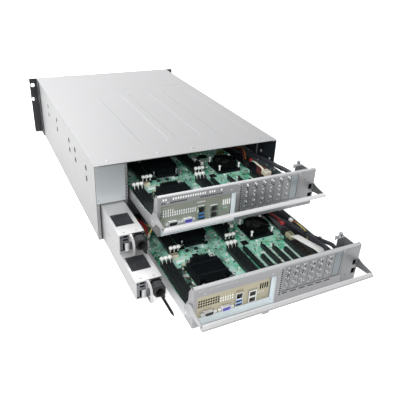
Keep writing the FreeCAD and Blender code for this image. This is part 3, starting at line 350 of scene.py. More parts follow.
class Kit:
    """Collects closed shells into one mesh; each face carries a material number."""

    def __init__(self, *materials):
        self.materials = list(materials)
        self.v, self.f, self.m = [], [], []

    def slot(self, name):
        if name not in self.materials:
            self.materials.append(name)
        return self.materials.index(name)

    def add(self, verts, faces, mat):
        start, index = len(self.v), self.slot(mat)
        self.v.extend(tuple(p) for p in verts)
        for face in faces:
            self.f.append([start + i for i in face])
            self.m.append(index)

    def box(self, x0, x1, y0, y1, z0, z1, mat, c=0.0):
        if c <= 0:
            v = [(x, y, z) for x in (x0, x1) for y in (y0, y1) for z in (z0, z1)]
            self.add(v, [(0, 1, 3, 2), (4, 6, 7, 5), (0, 4, 5, 1), (2, 3, 7, 6), (0, 2, 6, 4), (1, 5, 7, 3)], mat)
            return
        v, at = [], {}
        for i, x in enumerate((x0, x1)):
            for j, y in enumerate((y0, y1)):
                for k, z in enumerate((z0, z1)):
                    dx, dy, dz = c * (1 - 2 * i), c * (1 - 2 * j), c * (1 - 2 * k)
                    at[i, j, k] = len(v)
                    v += [(x, y + dy, z + dz), (x + dx, y, z + dz), (x + dx, y + dy, z)]
        faces = []
        for axis in range(3):
            for side in (0, 1):
                ring = []
                for a, b in ((0, 0), (1, 0), (1, 1), (0, 1)):
                    key = [a, b]
                    key.insert(axis, side)
                    ring.append(at[tuple(key)] + axis)
                faces.append(ring)
        for axis in range(3):
            p, q = [a for a in range(3) if a != axis]
            for a in (0, 1):
                for b in (0, 1):
                    ends = []
                    for side in (0, 1):
                        key = [0, 0, 0]
                        key[axis], key[p], key[q] = side, a, b
                        ends.append(at[tuple(key)])
                    faces.append([ends[0] + p, ends[0] + q, ends[1] + q, ends[1] + p])
        for start in at.values():
            faces.append([start, start + 1, start + 2])
        self.add(v, faces, mat)

    def prism(self, plane, outline, low, high, mat):
        a, b, w = PLANES[plane]
        n = len(outline)
        v = []
        for level in (low, high):
            for u, t in outline:
                p = [0, 0, 0]
                p[a], p[b], p[w] = u, t, level
                v.append(p)
        faces = [list(range(n)), list(range(n, 2 * n))]
        faces += [(i, (i + 1) % n, n + (i + 1) % n, n + i) for i in range(n)]
        self.add(v, faces, mat)

    def plate(self, plane, outline, holes, low, high, mat, open_holes=()):
        """A sheet with real holes; a hole listed as open gets no wall, because a pressing joins it."""
        a, b, w = PLANES[plane]
        points, loops = [], []
        for loop in [outline] + list(holes):
            start = len(points)
            points += [Vector((u, t)) for u, t in loop]
            loops.append(list(range(start, len(points))))
        out = delaunay_2d_cdt(points, [], loops, 2, 1e-6)
        flat, faces, source = out[0], out[2], out[3]
        where = {}
        for new, olds in enumerate(source):
            for old in olds:
                where[old] = new
        n = len(flat)
        v = []
        for level in (low, high):
            for q in flat:
                p = [0, 0, 0]
                p[a], p[b], p[w] = q[0], q[1], level
                v.append(p)
        shell = [list(face) for face in faces] + [[n + i for i in face] for face in faces]
        for number, ids in enumerate(loops):
            if number - 1 in open_holes:
                continue
            for i in range(len(ids)):
                s, e = where[ids[i]], where[ids[(i + 1) % len(ids)]]
                shell.append((s, e, n + e, n + s))
        self.add(v, shell, mat)

    def lathe(self, axis, centre, profile, mat, n=24, turn=0.0):
        """profile: (radius, height) pairs along the axis; closed at both ends."""
        w = AXES[axis]
        a, b = [i for i in range(3) if i != w]
        v, faces, rings = [], [], []
        for r, h in profile:
            if r <= 1e-9:
                p = list(centre)
                p[w] += h
                rings.append([len(v)])
                v.append(p)
                continue
            ring = []
            for i in range(n):
                p = list(centre)
                angle = turn + 2 * math.pi * i / n
                p[a] += r * math.cos(angle)
                p[b] += r * math.sin(angle)
                p[w] += h
                ring.append(len(v))
                v.append(p)
            rings.append(ring)
        for low, high in zip(rings, rings[1:]):
            for i in range(n):
                j = (i + 1) % n
                if len(low) == 1 and len(high) == 1:
                    continue
                if len(low) == 1:
                    faces.append((low[0], high[i], high[j]))
                elif len(high) == 1:
                    faces.append((low[i], low[j], high[0]))
                else:
                    faces.append((low[i], low[j], high[j], high[i]))
        for ring in (rings[0], rings[-1]):
            if len(ring) > 1:
                faces.append(list(ring))
        self.add(v, faces, mat)

    def rod(self, axis, centre, r, length, mat, n=20, c=0.0):
        if c > 0:
            profile = [(r - c, 0), (r, c), (r, length - c), (r - c, length)]
        else:
            profile = [(r, 0), (r, length)]
        self.lathe(axis, centre, profile, mat, n)

    def ring(self, axis, centre, outer, inner, length, mat, n=28, c=0.0):
        """A tube: lathe of a closed section."""
        w = AXES[axis]
        a, b = [i for i in range(3) if i != w]
        section = [(inner, 0), (outer - c, 0), (outer, c), (outer, length - c), (outer - c, length), (inner, length)]
        if c <= 0:
            section = [(inner, 0), (outer, 0), (outer, length), (inner, length)]
        k = len(section)
        v, faces = [], []
        for i in range(n):
            angle = 2 * math.pi * i / n
            for r, h in section:
                p = list(centre)
                p[a] += r * math.cos(angle)
                p[b] += r * math.sin(angle)
                p[w] += h
                v.append(p)
        for i in range(n):
            j = (i + 1) % n
            for s in range(k):
                t = (s + 1) % k
                faces.append((i * k + s, i * k + t, j * k + t, j * k + s))
        self.add(v, faces, mat)

    def tube(self, points, r, mat, n=10):
        points = [Vector(p) for p in points]
        v, faces, side = [], [], None
        for i, p in enumerate(points):
            ahead = points[min(i + 1, len(points) - 1)] - points[max(i - 1, 0)]
            ahead.normalize()
            if side is None:
                side = ahead.orthogonal().normalized()
            side = (side - ahead * side.dot(ahead)).normalized()
            up = ahead.cross(side)
            for k in range(n):
                angle = 2 * math.pi * k / n
                v.append(p + side * (r * math.cos(angle)) + up * (r * math.sin(angle)))
        last = len(points) - 1
        for i in range(last):
            for k in range(n):
                j = (k + 1) % n
                faces.append((i * n + k, i * n + j, (i + 1) * n + j, (i + 1) * n + k))
        faces.append(list(range(n)))
        faces.append([last * n + k for k in range(n)])
        self.add(v, faces, mat)

    def copy(self, other, dx=0.0, dy=0.0, dz=0.0):
        start = len(self.v)
        self.v.extend((x + dx, y + dy, z + dz) for x, y, z in other.v)
        for face, index in zip(other.f, other.m):
            self.f.append([start + i for i in face])
            self.m.append(self.slot(other.materials[index]))

    def mesh(self, name, angle=32.0, weld=False):
        data = bpy.data.meshes.new(name)
        data.from_pydata([Vector(p) * MM for p in self.v], [], self.f)
        data.polygons.foreach_set("material_index", self.m)
        for key in self.materials:
            data.materials.append(M[key])
        bm = bmesh.new()
        bm.from_mesh(data)
        if weld:
            bmesh.ops.remove_doubles(bm, verts=bm.verts, dist=1e-6)
        bmesh.ops.recalc_face_normals(bm, faces=bm.faces)
        bm.to_mesh(data)
        bm.free()
        data.shade_smooth()
        data.set_sharp_from_angle(angle=math.radians(angle))
        data.update()
        return data


def piece(name, kit, body, at=(0, 0, 0), replaces=(), bevel=0.0, segments=2, mesh=None):
    data = mesh or kit.mesh(name)
    obj = bpy.data.objects.new(name, data)
    scene.collection.objects.link(obj)
    obj.location = Vector(at) * MM
    if bevel > 0:
        mod = obj.modifiers.new("edge", "BEVEL")
        mod.width = bevel * MM
        mod.segments = segments
        mod.limit_method = "ANGLE"
        mod.angle_limit = math.radians(50)
        mod.use_clamp_overlap = True
    even = obj.modifiers.new("flat_faces", "WEIGHTED_NORMAL")
    even.mode = "FACE_AREA"
    even.weight = 80
    even.keep_sharp = True
    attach(obj, body)
    if replaces:
        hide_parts(*replaces)
    return obj


def curve_points(controls, steps=8):
    """Points on a smooth line through the controls."""
    pts = [Vector(p) for p in controls]
    ext = [pts[0] * 2 - pts[1]] + pts + [pts[-1] * 2 - pts[-2]]
    out = []
    for i in range(1, len(ext) - 2):
        p0, p1, p2, p3 = ext[i - 1], ext[i], ext[i + 1], ext[i + 2]
        for s in range(steps):
            t = s / steps
            out.append(
                0.5 * ((2 * p1) + (p2 - p0) * t + (2 * p0 - 5 * p1 + 4 * p2 - p3) * t * t + (3 * p1 - p0 - 3 * p2 + p3) * t ** 3)
            )
    out.append(pts[-1])
    return out


def screw_head(kit, axis, centre, r, h, mat="steel", sign=1):
    """A low pan head with a cross recess."""
    s = sign
    kit.lathe(axis, centre, [(r, 0), (r, s * h * 0.45), (r * 0.82, s * h * 0.9), (r * 0.5, s * h), (0, s * h)], mat, 20)
    w = AXES[axis]
    a, b = [i for i in range(3) if i != w]
    for long, short in ((0.5, 0.12), (0.12, 0.5)):
        low, high = list(centre), list(centre)
        low[a] -= r * long
        high[a] += r * long
        low[b] -= r * short
        high[b] += r * short
        ends = sorted((centre[w] + s * h * 0.9, centre[w] + s * (h + 0.06)))
        low[w], high[w] = ends
        kit.box(low[0], high[0], low[1], high[1], low[2], high[2], "dark_grey")


# =============================================================== chassis
W2, D2, H, T = 219.0, 350.0, 175.0, 1.2
LID = H - T
RAIL_Y = (-167.0, -43.0, 108.5, 171.5, 275.7)

shell = Kit("zinc_side", "zinc_inner")
holes = [circle(y, z, 6.6, 28) for y in RAIL_Y for z in (114.5, 140.0)]
holes += [circle(y, 164.0, 1.6, 14) for y in (78.0, 262.5)]
holes += [circle(-163.9, 163.6, 2.4, 16), circle(-43.0, 165.5, 1.3, 12), circle(171.5, 165.5, 1.3, 12)]
wall_line = [(-D2, 2.6), (D2, 2.6), (D2, LID), (-D2, LID)]
shell.plate("yz", wall_line, holes, W2 - T, W2, "zinc_side")
shell.plate("yz", wall_line, holes, -W2, -W2 + T, "zinc_side")
floor_holes = [circle(x, y, 2.0, 14) for x in (-190, -70, 70, 190) for y in (-320, -180, -110, 0, 150, 300)]
shell.plate("xy", rounded(-W2 + 2.6, W2 - 2.6, -D2, D2, 0), floor_holes, 0, T, "zinc_side")
for side in (1, -1):
    bend = [(side * (W2 - 2.6 + 2.6 * math.sin(math.radians(a))), 2.6 - 2.6 * math.cos(math.radians(a))) for a in range(0, 91, 15)]
    bend += [(side * (W2 - 2.6 + 1.4 * math.sin(math.radians(a))), 2.6 - 1.4 * math.cos(math.radians(a))) for a in range(90, -1, -15)]
    shell.prism("xz", bend, -D2, D2, "zinc_side")
    x0, x1 = sorted((side * (W2 - 11), side * (W2 - T)))
    shell.box(x0, x1, -D2, D2, LID - T, LID, "zinc_inner")
    # pressed rims round the rail holes
    for y in RAIL_Y:
        for z in (114.5, 140.0):
            shell.ring("x", (W2 if side > 0 else -W2 - 0.2, y, z), 7.5, 6.6, 0.2, "zinc_side", 28)
    # rivets along the lower edge
    for y in (-300, -225, -75, 60, 205, 330):
        shell.lathe("x", (side * W2, y, 12.0), [(2.2, 0), (1.9, side * 0.3), (0, side * 0.55)], "steel", 14)
# painted shade: a dark sheet over the inside of the right wall stands for the shade inside the chassis; four clinched
# studs and a joint strip sit near its rear
film = Kit("film")
film.box(-W2 + T, -W2 + T + 0.3, -140.0, 349.0, 3.0, 171.5, "film")
film.box(-W2 + T + 0.3, -W2 + T + 0.9, 271.5, 274.0, 92.0, 137.0, "grey", 0.2)
for y, z in ((292.0, 124.2), (332.0, 119.1), (292.0, 40.0), (332.0, 36.0)):
    film.lathe("x", (-W2 + T + 0.3, y, z), [(3.4, 0), (3.1, 0.8), (1.8, 1.3), (0, 1.4)], "bright", 18)
# painted shade: near-black discs fill the rail holes and the small upper holes on both walls so they read dark
for y in RAIL_Y:
    for z in (114.5, 140.0):
        film.rod("x", (W2 - 0.95, y, z), 6.58, 0.45, "void", 28)
        film.rod("x", (-W2 + 0.5, y, z), 6.58, 0.45, "void", 28)
for side in (1, -1):
    film.rod("x", (side * (W2 - 0.72) - 0.22, -163.9, 163.6), 2.38, 0.44, "void", 20)
piece("wall_painted_shade", film, "chassis")
piece("chassis_skin", shell, "chassis", replaces=["chassis_shell"], bevel=0.18)

cover_holes_front = [(190.0, -167.0), (-190.0, -167.0), (128.0, -341.0), (-128.0, -341.0)]
cover_holes_rear = [(73.7, 329.0), (-9.1, 329.0), (-185.0, 329.0), (185.0, 329.0), (190.0, -147.0), (-190.0, -147.0), (0.0, -147.0)]
front = Kit("zinc_top")
front.plate("xy", rounded(-W2, W2, -D2, -157.3, 0), [circle(x, y, 1.6, 14) for x, y in cover_holes_front], LID, H, "zinc_top")
for x in (128.0, 21.0, -89.0, -200.0):
    front.box(x - 6, x + 6, -349.6, -345.6, H, H + 0.5, "zinc_top", 0.2)
piece("front_cover_sheet", front, "chassis", replaces=["front_top_cover"], bevel=0.2)

rear = Kit("zinc_top")
RIBS = ((20.0, 91.0, -108.0, 274.0), (-63.0, 3.0, -104.0, 271.0), (-188.0, -103.0, -104.0, 280.0))
ridge = [rounded(x0, x1, y0, y1, 14.0, 8) for x0, x1, y0, y1 in RIBS]
rear.plate("xy", rounded(-W2, W2, -156.7, D2, 0), ridge + [circle(x, y, 1.6, 14) for x, y in cover_holes_rear], LID, H, "zinc_top", (0, 1, 2))
for x0, x1, y0, y1 in RIBS:
    # each stamped strip: a soft sloping edge down to a flat 0.6 mm lower, joined to the sheet round it
    steps = [(0.0, 0.0), (1.0, -0.06), (2.4, -0.3), (3.8, -0.54), (4.8, -0.6)]
    loops = []
    for base in (H, LID):
        for inset, drop in steps:
            loops.append([(u, v, base + drop) for u, v in rounded(x0 + inset, x1 - inset, y0 + inset, y1 - inset, 14.0 - inset, 8)])
    n = len(loops[0])
    verts = [p for loop in loops for p in loop]
    faces = []
    for block in (0, len(steps)):
        for k in range(len(steps) - 1):
            for i in range(n):
                j = (i + 1) % n
                faces.append(((block + k) * n + i, (block + k) * n + j, (block + k + 1) * n + j, (block + k + 1) * n + i))
        last = (block + len(steps) - 1) * n
        faces.append([last + i for i in range(n)])
    rear.add(verts, faces, "zinc_top")
piece("rear_cover_sheet", None, "chassis", replaces=["rear_top_cover"], mesh=rear.mesh("rear_cover_sheet", 32.0, True))

screws = Kit("steel")
for x, y in cover_holes_rear + cover_holes_front:
    if y > 0:
        screw_head(screws, "z", (x, y, H), 2.9, 0.85)
    else:
        # flat countersunk heads beside the joint of the covers and along the front
        screws.lathe("z", (x, y, LID + 0.2), [(1.5, 0), (2.9, 1.0), (2.9, 1.12), (0.9, 1.16), (0, 0.7)], "zinc_top", 24)
    screws.rod("z", (x, y, LID), 1.5, T, "steel", 12)
for y in (78.0, 262.5):
    for side in (1, -1):
        screw_head(screws, "x", (side * W2, y, 164.0), 2.9, 0.85, "steel", side)
        screws.rod("x", (W2 - T if side > 0 else -W2, y, 164.0), 1.5, T, "steel", 12)
piece("cover_screw_heads", screws, "chassis", replaces=["cover_screws"])

# rack ears: slotted plate, fixing leg and a bent round grip
ears = Kit("black_metal")
for side in (1, -1):
    x0, x1 = sorted((side * W2, side * 241.3))
    slots = []
    for k in (0.5, 1.5):
        z = 87.5 + 44.45 * k
        slots.append(rounded(side * 232.55 - 5.6, side * 232.55 + 5.6, z - 5.6, z + 5.6, 2.6, 6))
    if side > 0:
        slots.append(circle(234.2, 132.0, 4.3, 24))
    ears.plate("xz", rounded(x0, x1, 0.5, 174.5, 1.5), slots, -D2, -D2 + 3, "black_metal")
    a, b = sorted((side * W2, side * (W2 + 2)))
    leg = rounded(-347.0, -300.0, 0.5, 174.5, 3.0)
    leg_holes = [circle(y, z, 2.1, 14) for y in (-334, -312) for z in (30, 87.5, 145)]
    ears.plate("yz", leg, leg_holes, a, b, "black_metal")
    for y in (-334, -312):
        for z in (30, 87.5, 145):
            ears.lathe("x", (side * (W2 + 0.6), y, z), [(2.0, 0), (2.0, side * 1.0), (1.2, side * 1.3), (0, side * 1.3)], "steel", 16)
    gx = side * (W2 + 7)
    grip = [(gx, -350, 46), (gx, -366, 46), (gx, -375, 47.5), (gx, -380.5, 53), (gx, -381.5, 62), (gx, -381.5, 87.5), (gx, -381.5, 113), (gx, -380.5, 122), (gx, -375, 127.5), (gx, -366, 129), (gx, -350, 129)]
    ears.tube(curve_points(grip, 5), 3.0, "black_metal", 14)
    for z in (46, 129):
        ears.lathe("y", (gx, -350.0, z), [(4.5, 0), (4.5, -1.2), (4.0, -1.8), (3.0, -1.8)], "black_metal", 20)
piece("ear_pair", ears, "chassis", replaces=["rack_ears"], bevel=0.25)

button = Kit("light_grey")
button.lathe("y", (234.2, -352.5, 132.0), [(0, 0.35), (2.6, 0.25), (3.3, 0.0), (3.8, 0.2), (4.0, 0.7), (4.0, 6.6)], "light_grey", 32)
button.ring("y", (234.2, -352.6, 132.0), 3.1, 2.6, 0.6, "blue_lamp", 32)
button.lathe("y", (234.2, -346.6, 132.0), [(4.1, 0), (5.5, 0), (5.5, 1.7), (0, 1.7)], "matt_black", 24)
piece("button_cap", button, "button", replaces=["power_button"])


# =============================================================== server trays
BT = 7.2            # top of the board above the tray's underside
PORT = (-20.0, 139.0, 1.8, 64.5)
DEEP = -11.0
SLOT0, PITCH = -38.2, 20.32
COVERS = [SLOT0 - PITCH * i for i in range(7)]


DASHES = ((-41.0, 6.0), (-60.5, 7.1), (-80.4, 7.1), (-100.4, 7.4), (-119.6, 7.4), (-139.8, 7.2))


def tray_panel_kit(tag):
    k = Kit("panel")
    upper = tag == "upper"
    xl, xr, high = 145.6, -210.4, 83.6
    win = [
        rounded(PORT[0], PORT[1], PORT[2], PORT[3], 0.8, 3),
        rounded(-167.96, -33.0, 22.0, 79.0, 1.6, 4),
        rounded(-171.6, -170.3, 20.0, 73.0, 0.5, 2),
        rounded(xr + 0.8, xr + 13.4, 38.0, 50.0, 0.6, 2),
        rounded(xr + 0.8, xr + 12.6, 17.0, 29.5, 0.6, 2),
        circle(-183.0, 64.0, 1.3, 12), circle(-183.0, 19.0, 1.3, 12),
    ]
    for x, half in DASHES:
        win.append(rounded(x - half, x + half, 17.2, 19.7, 1.1, 3))
    for i in (0, 1, *range(4, 18), 19, 20, 21, 24) if upper else (0, 1, *range(4, 15)):
        x = 134.0 - 5.0 * i
        win.append(rounded(x - 1.5, x + 1.5, 74.0, 78.8, 1.2, 3))
    for i in range(29):
        x = 136.4 - 4.4 * i
        if upper and not 60.0 < x < 87.0 and abs(x - 124.0) > 3.8:
            win.append(rounded(x - 1.45, x + 1.45, 67.4, 70.6, 0.6, 2))
    for i in range(13):
        win.append(rounded(-31.7, -28.1, 16.2 + 4.65 * i, 19.1 + 4.65 * i, 0.8, 2))
    k.plate("xz", [(xr, 0), (xl, 0), (xl, high - 1.4), (xr, high - 1.4)], win, -T, 0, "panel")
    # the fold at the top edge and the lip behind it, painted in a lighter sheet than the panel as a painted highlight
    # along the top edge
    fold = [(-T, high - 1.4), (0, high - 1.4), (-0.1, high - 0.86), (-0.41, high - 0.41), (-0.86, high - 0.1), (-1.4, high), (-7.6, high), (-7.6, high - T), (-1.4, high - T)]
    k.prism("yz", fold, xr, xl, "fold")
    # end flanges
    end = [(-30, 0), (-T, 0), (-T, high), (-9, high), (-12, 76), (-18, 67.5), (-18.6, 56), (-20, 47), (-30, 31)]
    for x in (xl - T, xr):
        k.plate("yz", end, [circle(-21.0, 22.0, 3.08, 20)], x, x + T, "panel")
    # port bay: folded walls and a return along the foot and the right edge, all in a near-white copy of the panel sheet
    # as painted light standing in for the sky's reflection
    x0, x1, z0, z1 = PORT
    k.box(x0 - T, x1 + T, DEEP, -T, z0 - T, z0, "bay")
    k.box(x0 - T, x1 + T, DEEP, -T, z1, z1 + T, "bay")
    k.box(x0 - T, x0, DEEP, -T, z0, z1, "bay")
    k.box(x1, x1 + T, DEEP, -T, z0, z1, "bay")
    k.box(x0, x1, DEEP, DEEP + 0.6, z0, 8.4, "bay", 0.2)
    k.box(x0, x0 + 4.6, DEEP, DEEP + 0.6, 8.4, z1, "bay", 0.2)
    k.box(x0 + 4.6, x0 + 6.0, DEEP, DEEP + 0.9, 8.4, z1, "strip", 0.2)
    k.box(x0 + 0.4, x1 - 0.4, 0.02, 0.35, 0.1, z0 - 0.05, "bay")
    # painted shade: near-black liners behind the perforations, slots, notches and screw holes make them read dark; the
    # liner behind the top row of slots is white on the upper tray as painted light seen through them, grey on the lower
    k.box(-150.0, -33.0, -T + 0.15, -0.4, 15.6, 21.4, "void")
    k.box(-32.6, -27.2, -T + 0.15, -0.4, 14.0, 77.0, "void")
    k.box(8.0, 139.0, -T + 0.15, -0.4, 66.4, 71.6, "void")
    k.box(8.0, 138.0, -T + 0.15, -0.25, 73.0, 79.8, "white" if upper else "grey")
    k.box(-173.4, -168.8, -2.8, -2.2, 18.0, 75.0, "void")
    k.box(xr + 1.3, xr + 15.0, -4.0, -3.4, 15.0, 52.0, "void")
    for z in (64.0, 19.0):
        k.box(-185.0, -181.0, -2.4, -T - 0.1, z - 2, z + 2, "void")
    # a separate plate over the right end, painted in the darker cover sheet as painted shade for that end
    k.plate("xz", rounded(xr + 0.4, -174.4, 1.6, 80.8, 0.5, 2),
            [rounded(xr + 0.8, xr + 13.4, 38.0, 50.0, 0.6, 2), rounded(xr + 0.8, xr + 12.6, 17.0, 29.5, 0.6, 2), circle(-183.0, 64.0, 1.3, 12), circle(-183.0, 19.0, 1.3, 12)],
            0.02, 0.4, "cover")
    # screws on the face
    for x, z in ((124.0, 70.0), (-9.0, 71.5), (-23.5, 62.0), (-24.3, 80.6)):
        screw_head(k, "y", (x, 0, z), 1.9, 0.7)
    return k


# Each vented slot cover: two raised pips near the top, two vents under them, smaller pips, and a drawn ring with an
# off-centre vent near the foot; the pips are painted light as painted highlights, and small flat dark discs are painted
# shade.
COVER_MARKS = {
    "upper": dict(columns=(-46.4, -65.0, -84.8, -104.2, -125.0, -144.2), pips=((2.0, 76.6), (-2.4, 73.4), (2.2, 59.4), (2.2, 50.2), (0.4, 37.6)),
                  vents=((2.0, 69.6), (-2.0, 65.4), (3.2, 33.6)), ring=(0.0, 33.4)),
    "lower": dict(columns=(-45.0, -61.4, -78.4, -98.4, -117.0, -138.6), pips=((0.6, 72.6), (-1.2, 62.8), (-1.0, 50.0), (1.0, 39.0), (0.4, 34.4)),
                  vents=((0.4, 57.6), (1.6, 53.6), (0.4, 43.6), (-2.8, 67.0)), ring=(-0.4, 41.0)),
}


def slot_cover_kit(tag):
    k = Kit("cover")
    marks = COVER_MARKS[tag]
    for i, x in enumerate(COVERS):
        a, b = (9.75, 9.75) if i < 6 else (9.75, 7.8)
        if i == 0:
            a = 5.2
        holes = []
        inside = []
        for column in marks["columns"]:
            if x - b < column < x + a:
                inside.append(column)
        for column in inside:
            for dx, z in marks["vents"]:
                u = min(max(column + dx, x - b + 2.2), x + a - 2.2)
                holes.append(circle(u, z, 1.9, 14))
        # painted shade: the covers take a darker copy of the panel sheet for their recess
        skin = "cover" if i < 6 else "strip"
        k.plate("xz", rounded(x - b, x + a, 20.4, 81.0, 0.6, 2), holes, -2.1, -T, skin)
        for column in inside:
            # painted highlights: the pips are near-white on the upper tray and light grey on the lower
            for number, (dx, z) in enumerate(marks["pips"]):
                u = min(max(column + dx, x - b + 1.8), x + a - 1.8)
                r = (2.1, 1.9, 1.6, 1.3, 1.5)[number] * (1.0 if tag == "upper" else 0.82)
                k.lathe("y", (u, -T, z), [(r, 0), (r * 0.86, 0.3), (r * 0.5, 0.52), (0, 0.6)], "bright" if tag == "upper" else "light_grey", 14)
            # painted highlights and painted shade: alternate light grey domes stand for glints, and on the lower tray
            # flat dark discs are painted shade
            for row in range(8):
                z = 28.0 + 6.4 * row
                for dx in (-4.4, 4.4):
                    u = column + dx
                    if not x - b + 1.6 < u < x + a - 1.6:
                        continue
                    if (row + (dx > 0)) % 2:
                        k.lathe("y", (u, -T, z), [(1.15, 0), (0.9, 0.3), (0, 0.45)], "light_grey", 12)
                    elif tag == "lower":
                        k.lathe("y", (u, -T, z), [(1.0, 0), (0.9, 0.06), (0, 0.07)], "smoke", 12)
            dx, z = marks["ring"]
            u = min(max(column + dx, x - b + 4.6), x + a - 4.6)
            k.ring("y", (u, -T - 0.1, z), 4.3, 3.3, 0.5, "panel", 24, 0.3)
        # painted shade: a near-black strip in the gap beside the fifth and sixth covers; the cover's fold and the screw
        # under the lip
        if i in (4, 5):
            k.box(x - 10.5, x - 9.8, -1.9, -T + 0.02, 24.0, 78.0, "void")
        k.box(x - b, x + a, -11.0, -2.1, 80.0, 81.0, "cover")
        screw_head(k, "z", (x, -7.0, 81.0), 2.4, 0.8)
    # painted shade: a dark sheet behind all the covers makes their vents read dark
    k.box(-166.0, -34.0, -1.95, -T - 0.3, 22.4, 79.4, "smoke")
    return k


# how far the ports stand above the board, and where the violet socket is
LIFT = {"upper": 2.4, "lower": 0.8}
SECOND = {"upper": 78.2, "lower": 76.0}


def shield_kit(tag):
    upper = tag == "upper"
    skin = "shield_grey" if upper else "shield"
    k = Kit(skin)
    y0, y1 = DEEP - 0.8, DEEP
    up, x2 = BT + LIFT[tag], SECOND[tag]
    vent = 30.6 + LIFT[tag]
    holes = [
        rounded(99.6, 120.8, up + 1.9, up + 13.1, 1.5, 3), rounded(x2 - 12.1, x2 + 12.1, up + 1.9, up + 13.1, 1.5, 3),
        rounded(41.6, 58.0, up + 2.2, up + 33.6, 0.5, 2), rounded(13.0, 31.2, up + 1.6, up + 30.0, 0.5, 2),
    ]
    bars = []
    for i in range(15):
        pale = upper or i > 8
        for row in range(2 if pale and i > 4 else 3):
            x, z = 129.0 - 4.7 * i, vent + 5.6 * row
            if pale:
                holes.append(rounded(x - 2.0, x + 2.0, z - 0.5, z + 4.3, 0.5, 1))
                bars.append((x, z))
            else:
                holes.append(rounded(x - 1.65, x + 1.65, z - 0.3, z + 3.7, 0.5, 1))
    for row in range(2):
        holes.append(circle(134.4, 33.0 + 6.4 * row, 1.8, 12))
    side = 1.6 if upper else 6.0
    for i in range(4):
        holes.append(rounded(side - 4.7 * i - 1.5, side - 4.7 * i + 1.5, 34.0, 47.0, 1.3, 3))
    for i in range(3):
        holes.append(rounded(side + 2.4 - 4.8 * i - 1.5, side + 2.4 - 4.8 * i + 1.5, 25.6, 29.2, 0.4, 1))
    k.plate("xz", [(PORT[0] - T, 0.6), (PORT[1] + T, 0.6), (PORT[1] + T, 65.7), (PORT[0] - T, 65.7)], holes, y0, y1, skin)
    # liners behind the vents and holes paint what shows through them: near-black and dark grey ones are painted shade,
    # white ones painted light; the white bars standing in the pale cells are painted highlights
    k.box(88.6, 131.9, y0 + 0.15, y1 - 0.3, vent - 1.2, vent + 16.8, "film_grey" if upper else "void")
    k.box(60.2, 88.2, y0 + 0.15, y1 - 0.3, vent - 1.2, vent + 16.8, "film_grey" if upper else "olive")
    for x, z in bars:
        k.box(x - 1.15, x + 1.15, y1 - 0.25, y1 + 0.15, z - 0.2, z + 4.0, "white", 0.1)
    k.box(132.2, 136.8, y0 + 0.15, y1 - 0.3, 30.4, 42.0, "void")
    k.box(-15.0, side + 4.8, y0 + 0.15, y1 - 0.3, 32.8, 48.2, "white" if upper else "void")
    k.box(-15.0, side + 4.8, y0 + 0.15, y1 - 0.3, 24.6, 30.2, "board" if upper else "light_grey")
    # pressed frames round the port openings, stiffening beads and a bright spring tab
    for x0, x1, z0, z1 in ((99.6, 120.8, up + 1.9, up + 13.1), (x2 - 12.1, x2 + 12.1, up + 1.9, up + 13.1), (41.6, 58.0, up + 2.2, up + 33.6), (13.0, 31.2, up + 1.6, up + 30.0)):
        k.plate("xz", rounded(x0 - 1.6, x1 + 1.6, max(z0 - 1.6, 4.2), z1 + 1.6, 1.8, 3), [rounded(x0, x1, z0, z1, 1.2, 3)], y1, y1 + 0.4, skin)
    k.box(-14.0, 133.0, y1, y1 + 0.8, 54.4, 56.0, skin, 0.5)
    if upper:
        k.box(42.0, 60.0, y1, y1 + 1.4, 50.6, 53.0, "bright", 0.5)
    else:
        k.box(42.6, 57.0, y1, y1 + 1.0, up + 35.4, up + 37.0, "tan", 0.4)
    return k


def d_shape(x, z, w, h, lean=1.2, n=3):
    """The outline of a D-shaped connector shell."""
    a, b = w / 2, h / 2
    corners = [(x - a + lean, z - b), (x + a - lean, z - b), (x + a, z + b), (x - a, z + b)]
    out = []
    for i in range(4):
        p, q, r = corners[i - 1], corners[i], corners[(i + 1) % 4]
        for s in range(n + 1):
            t = s / n
            u = (q[0] + (p[0] - q[0]) * 0.16 * (1 - t) ** 2 + (r[0] - q[0]) * 0.16 * t * t,
                 q[1] + (p[1] - q[1]) * 0.3 * (1 - t) ** 2 + (r[1] - q[1]) * 0.3 * t * t)
            out.append(u)
    return out


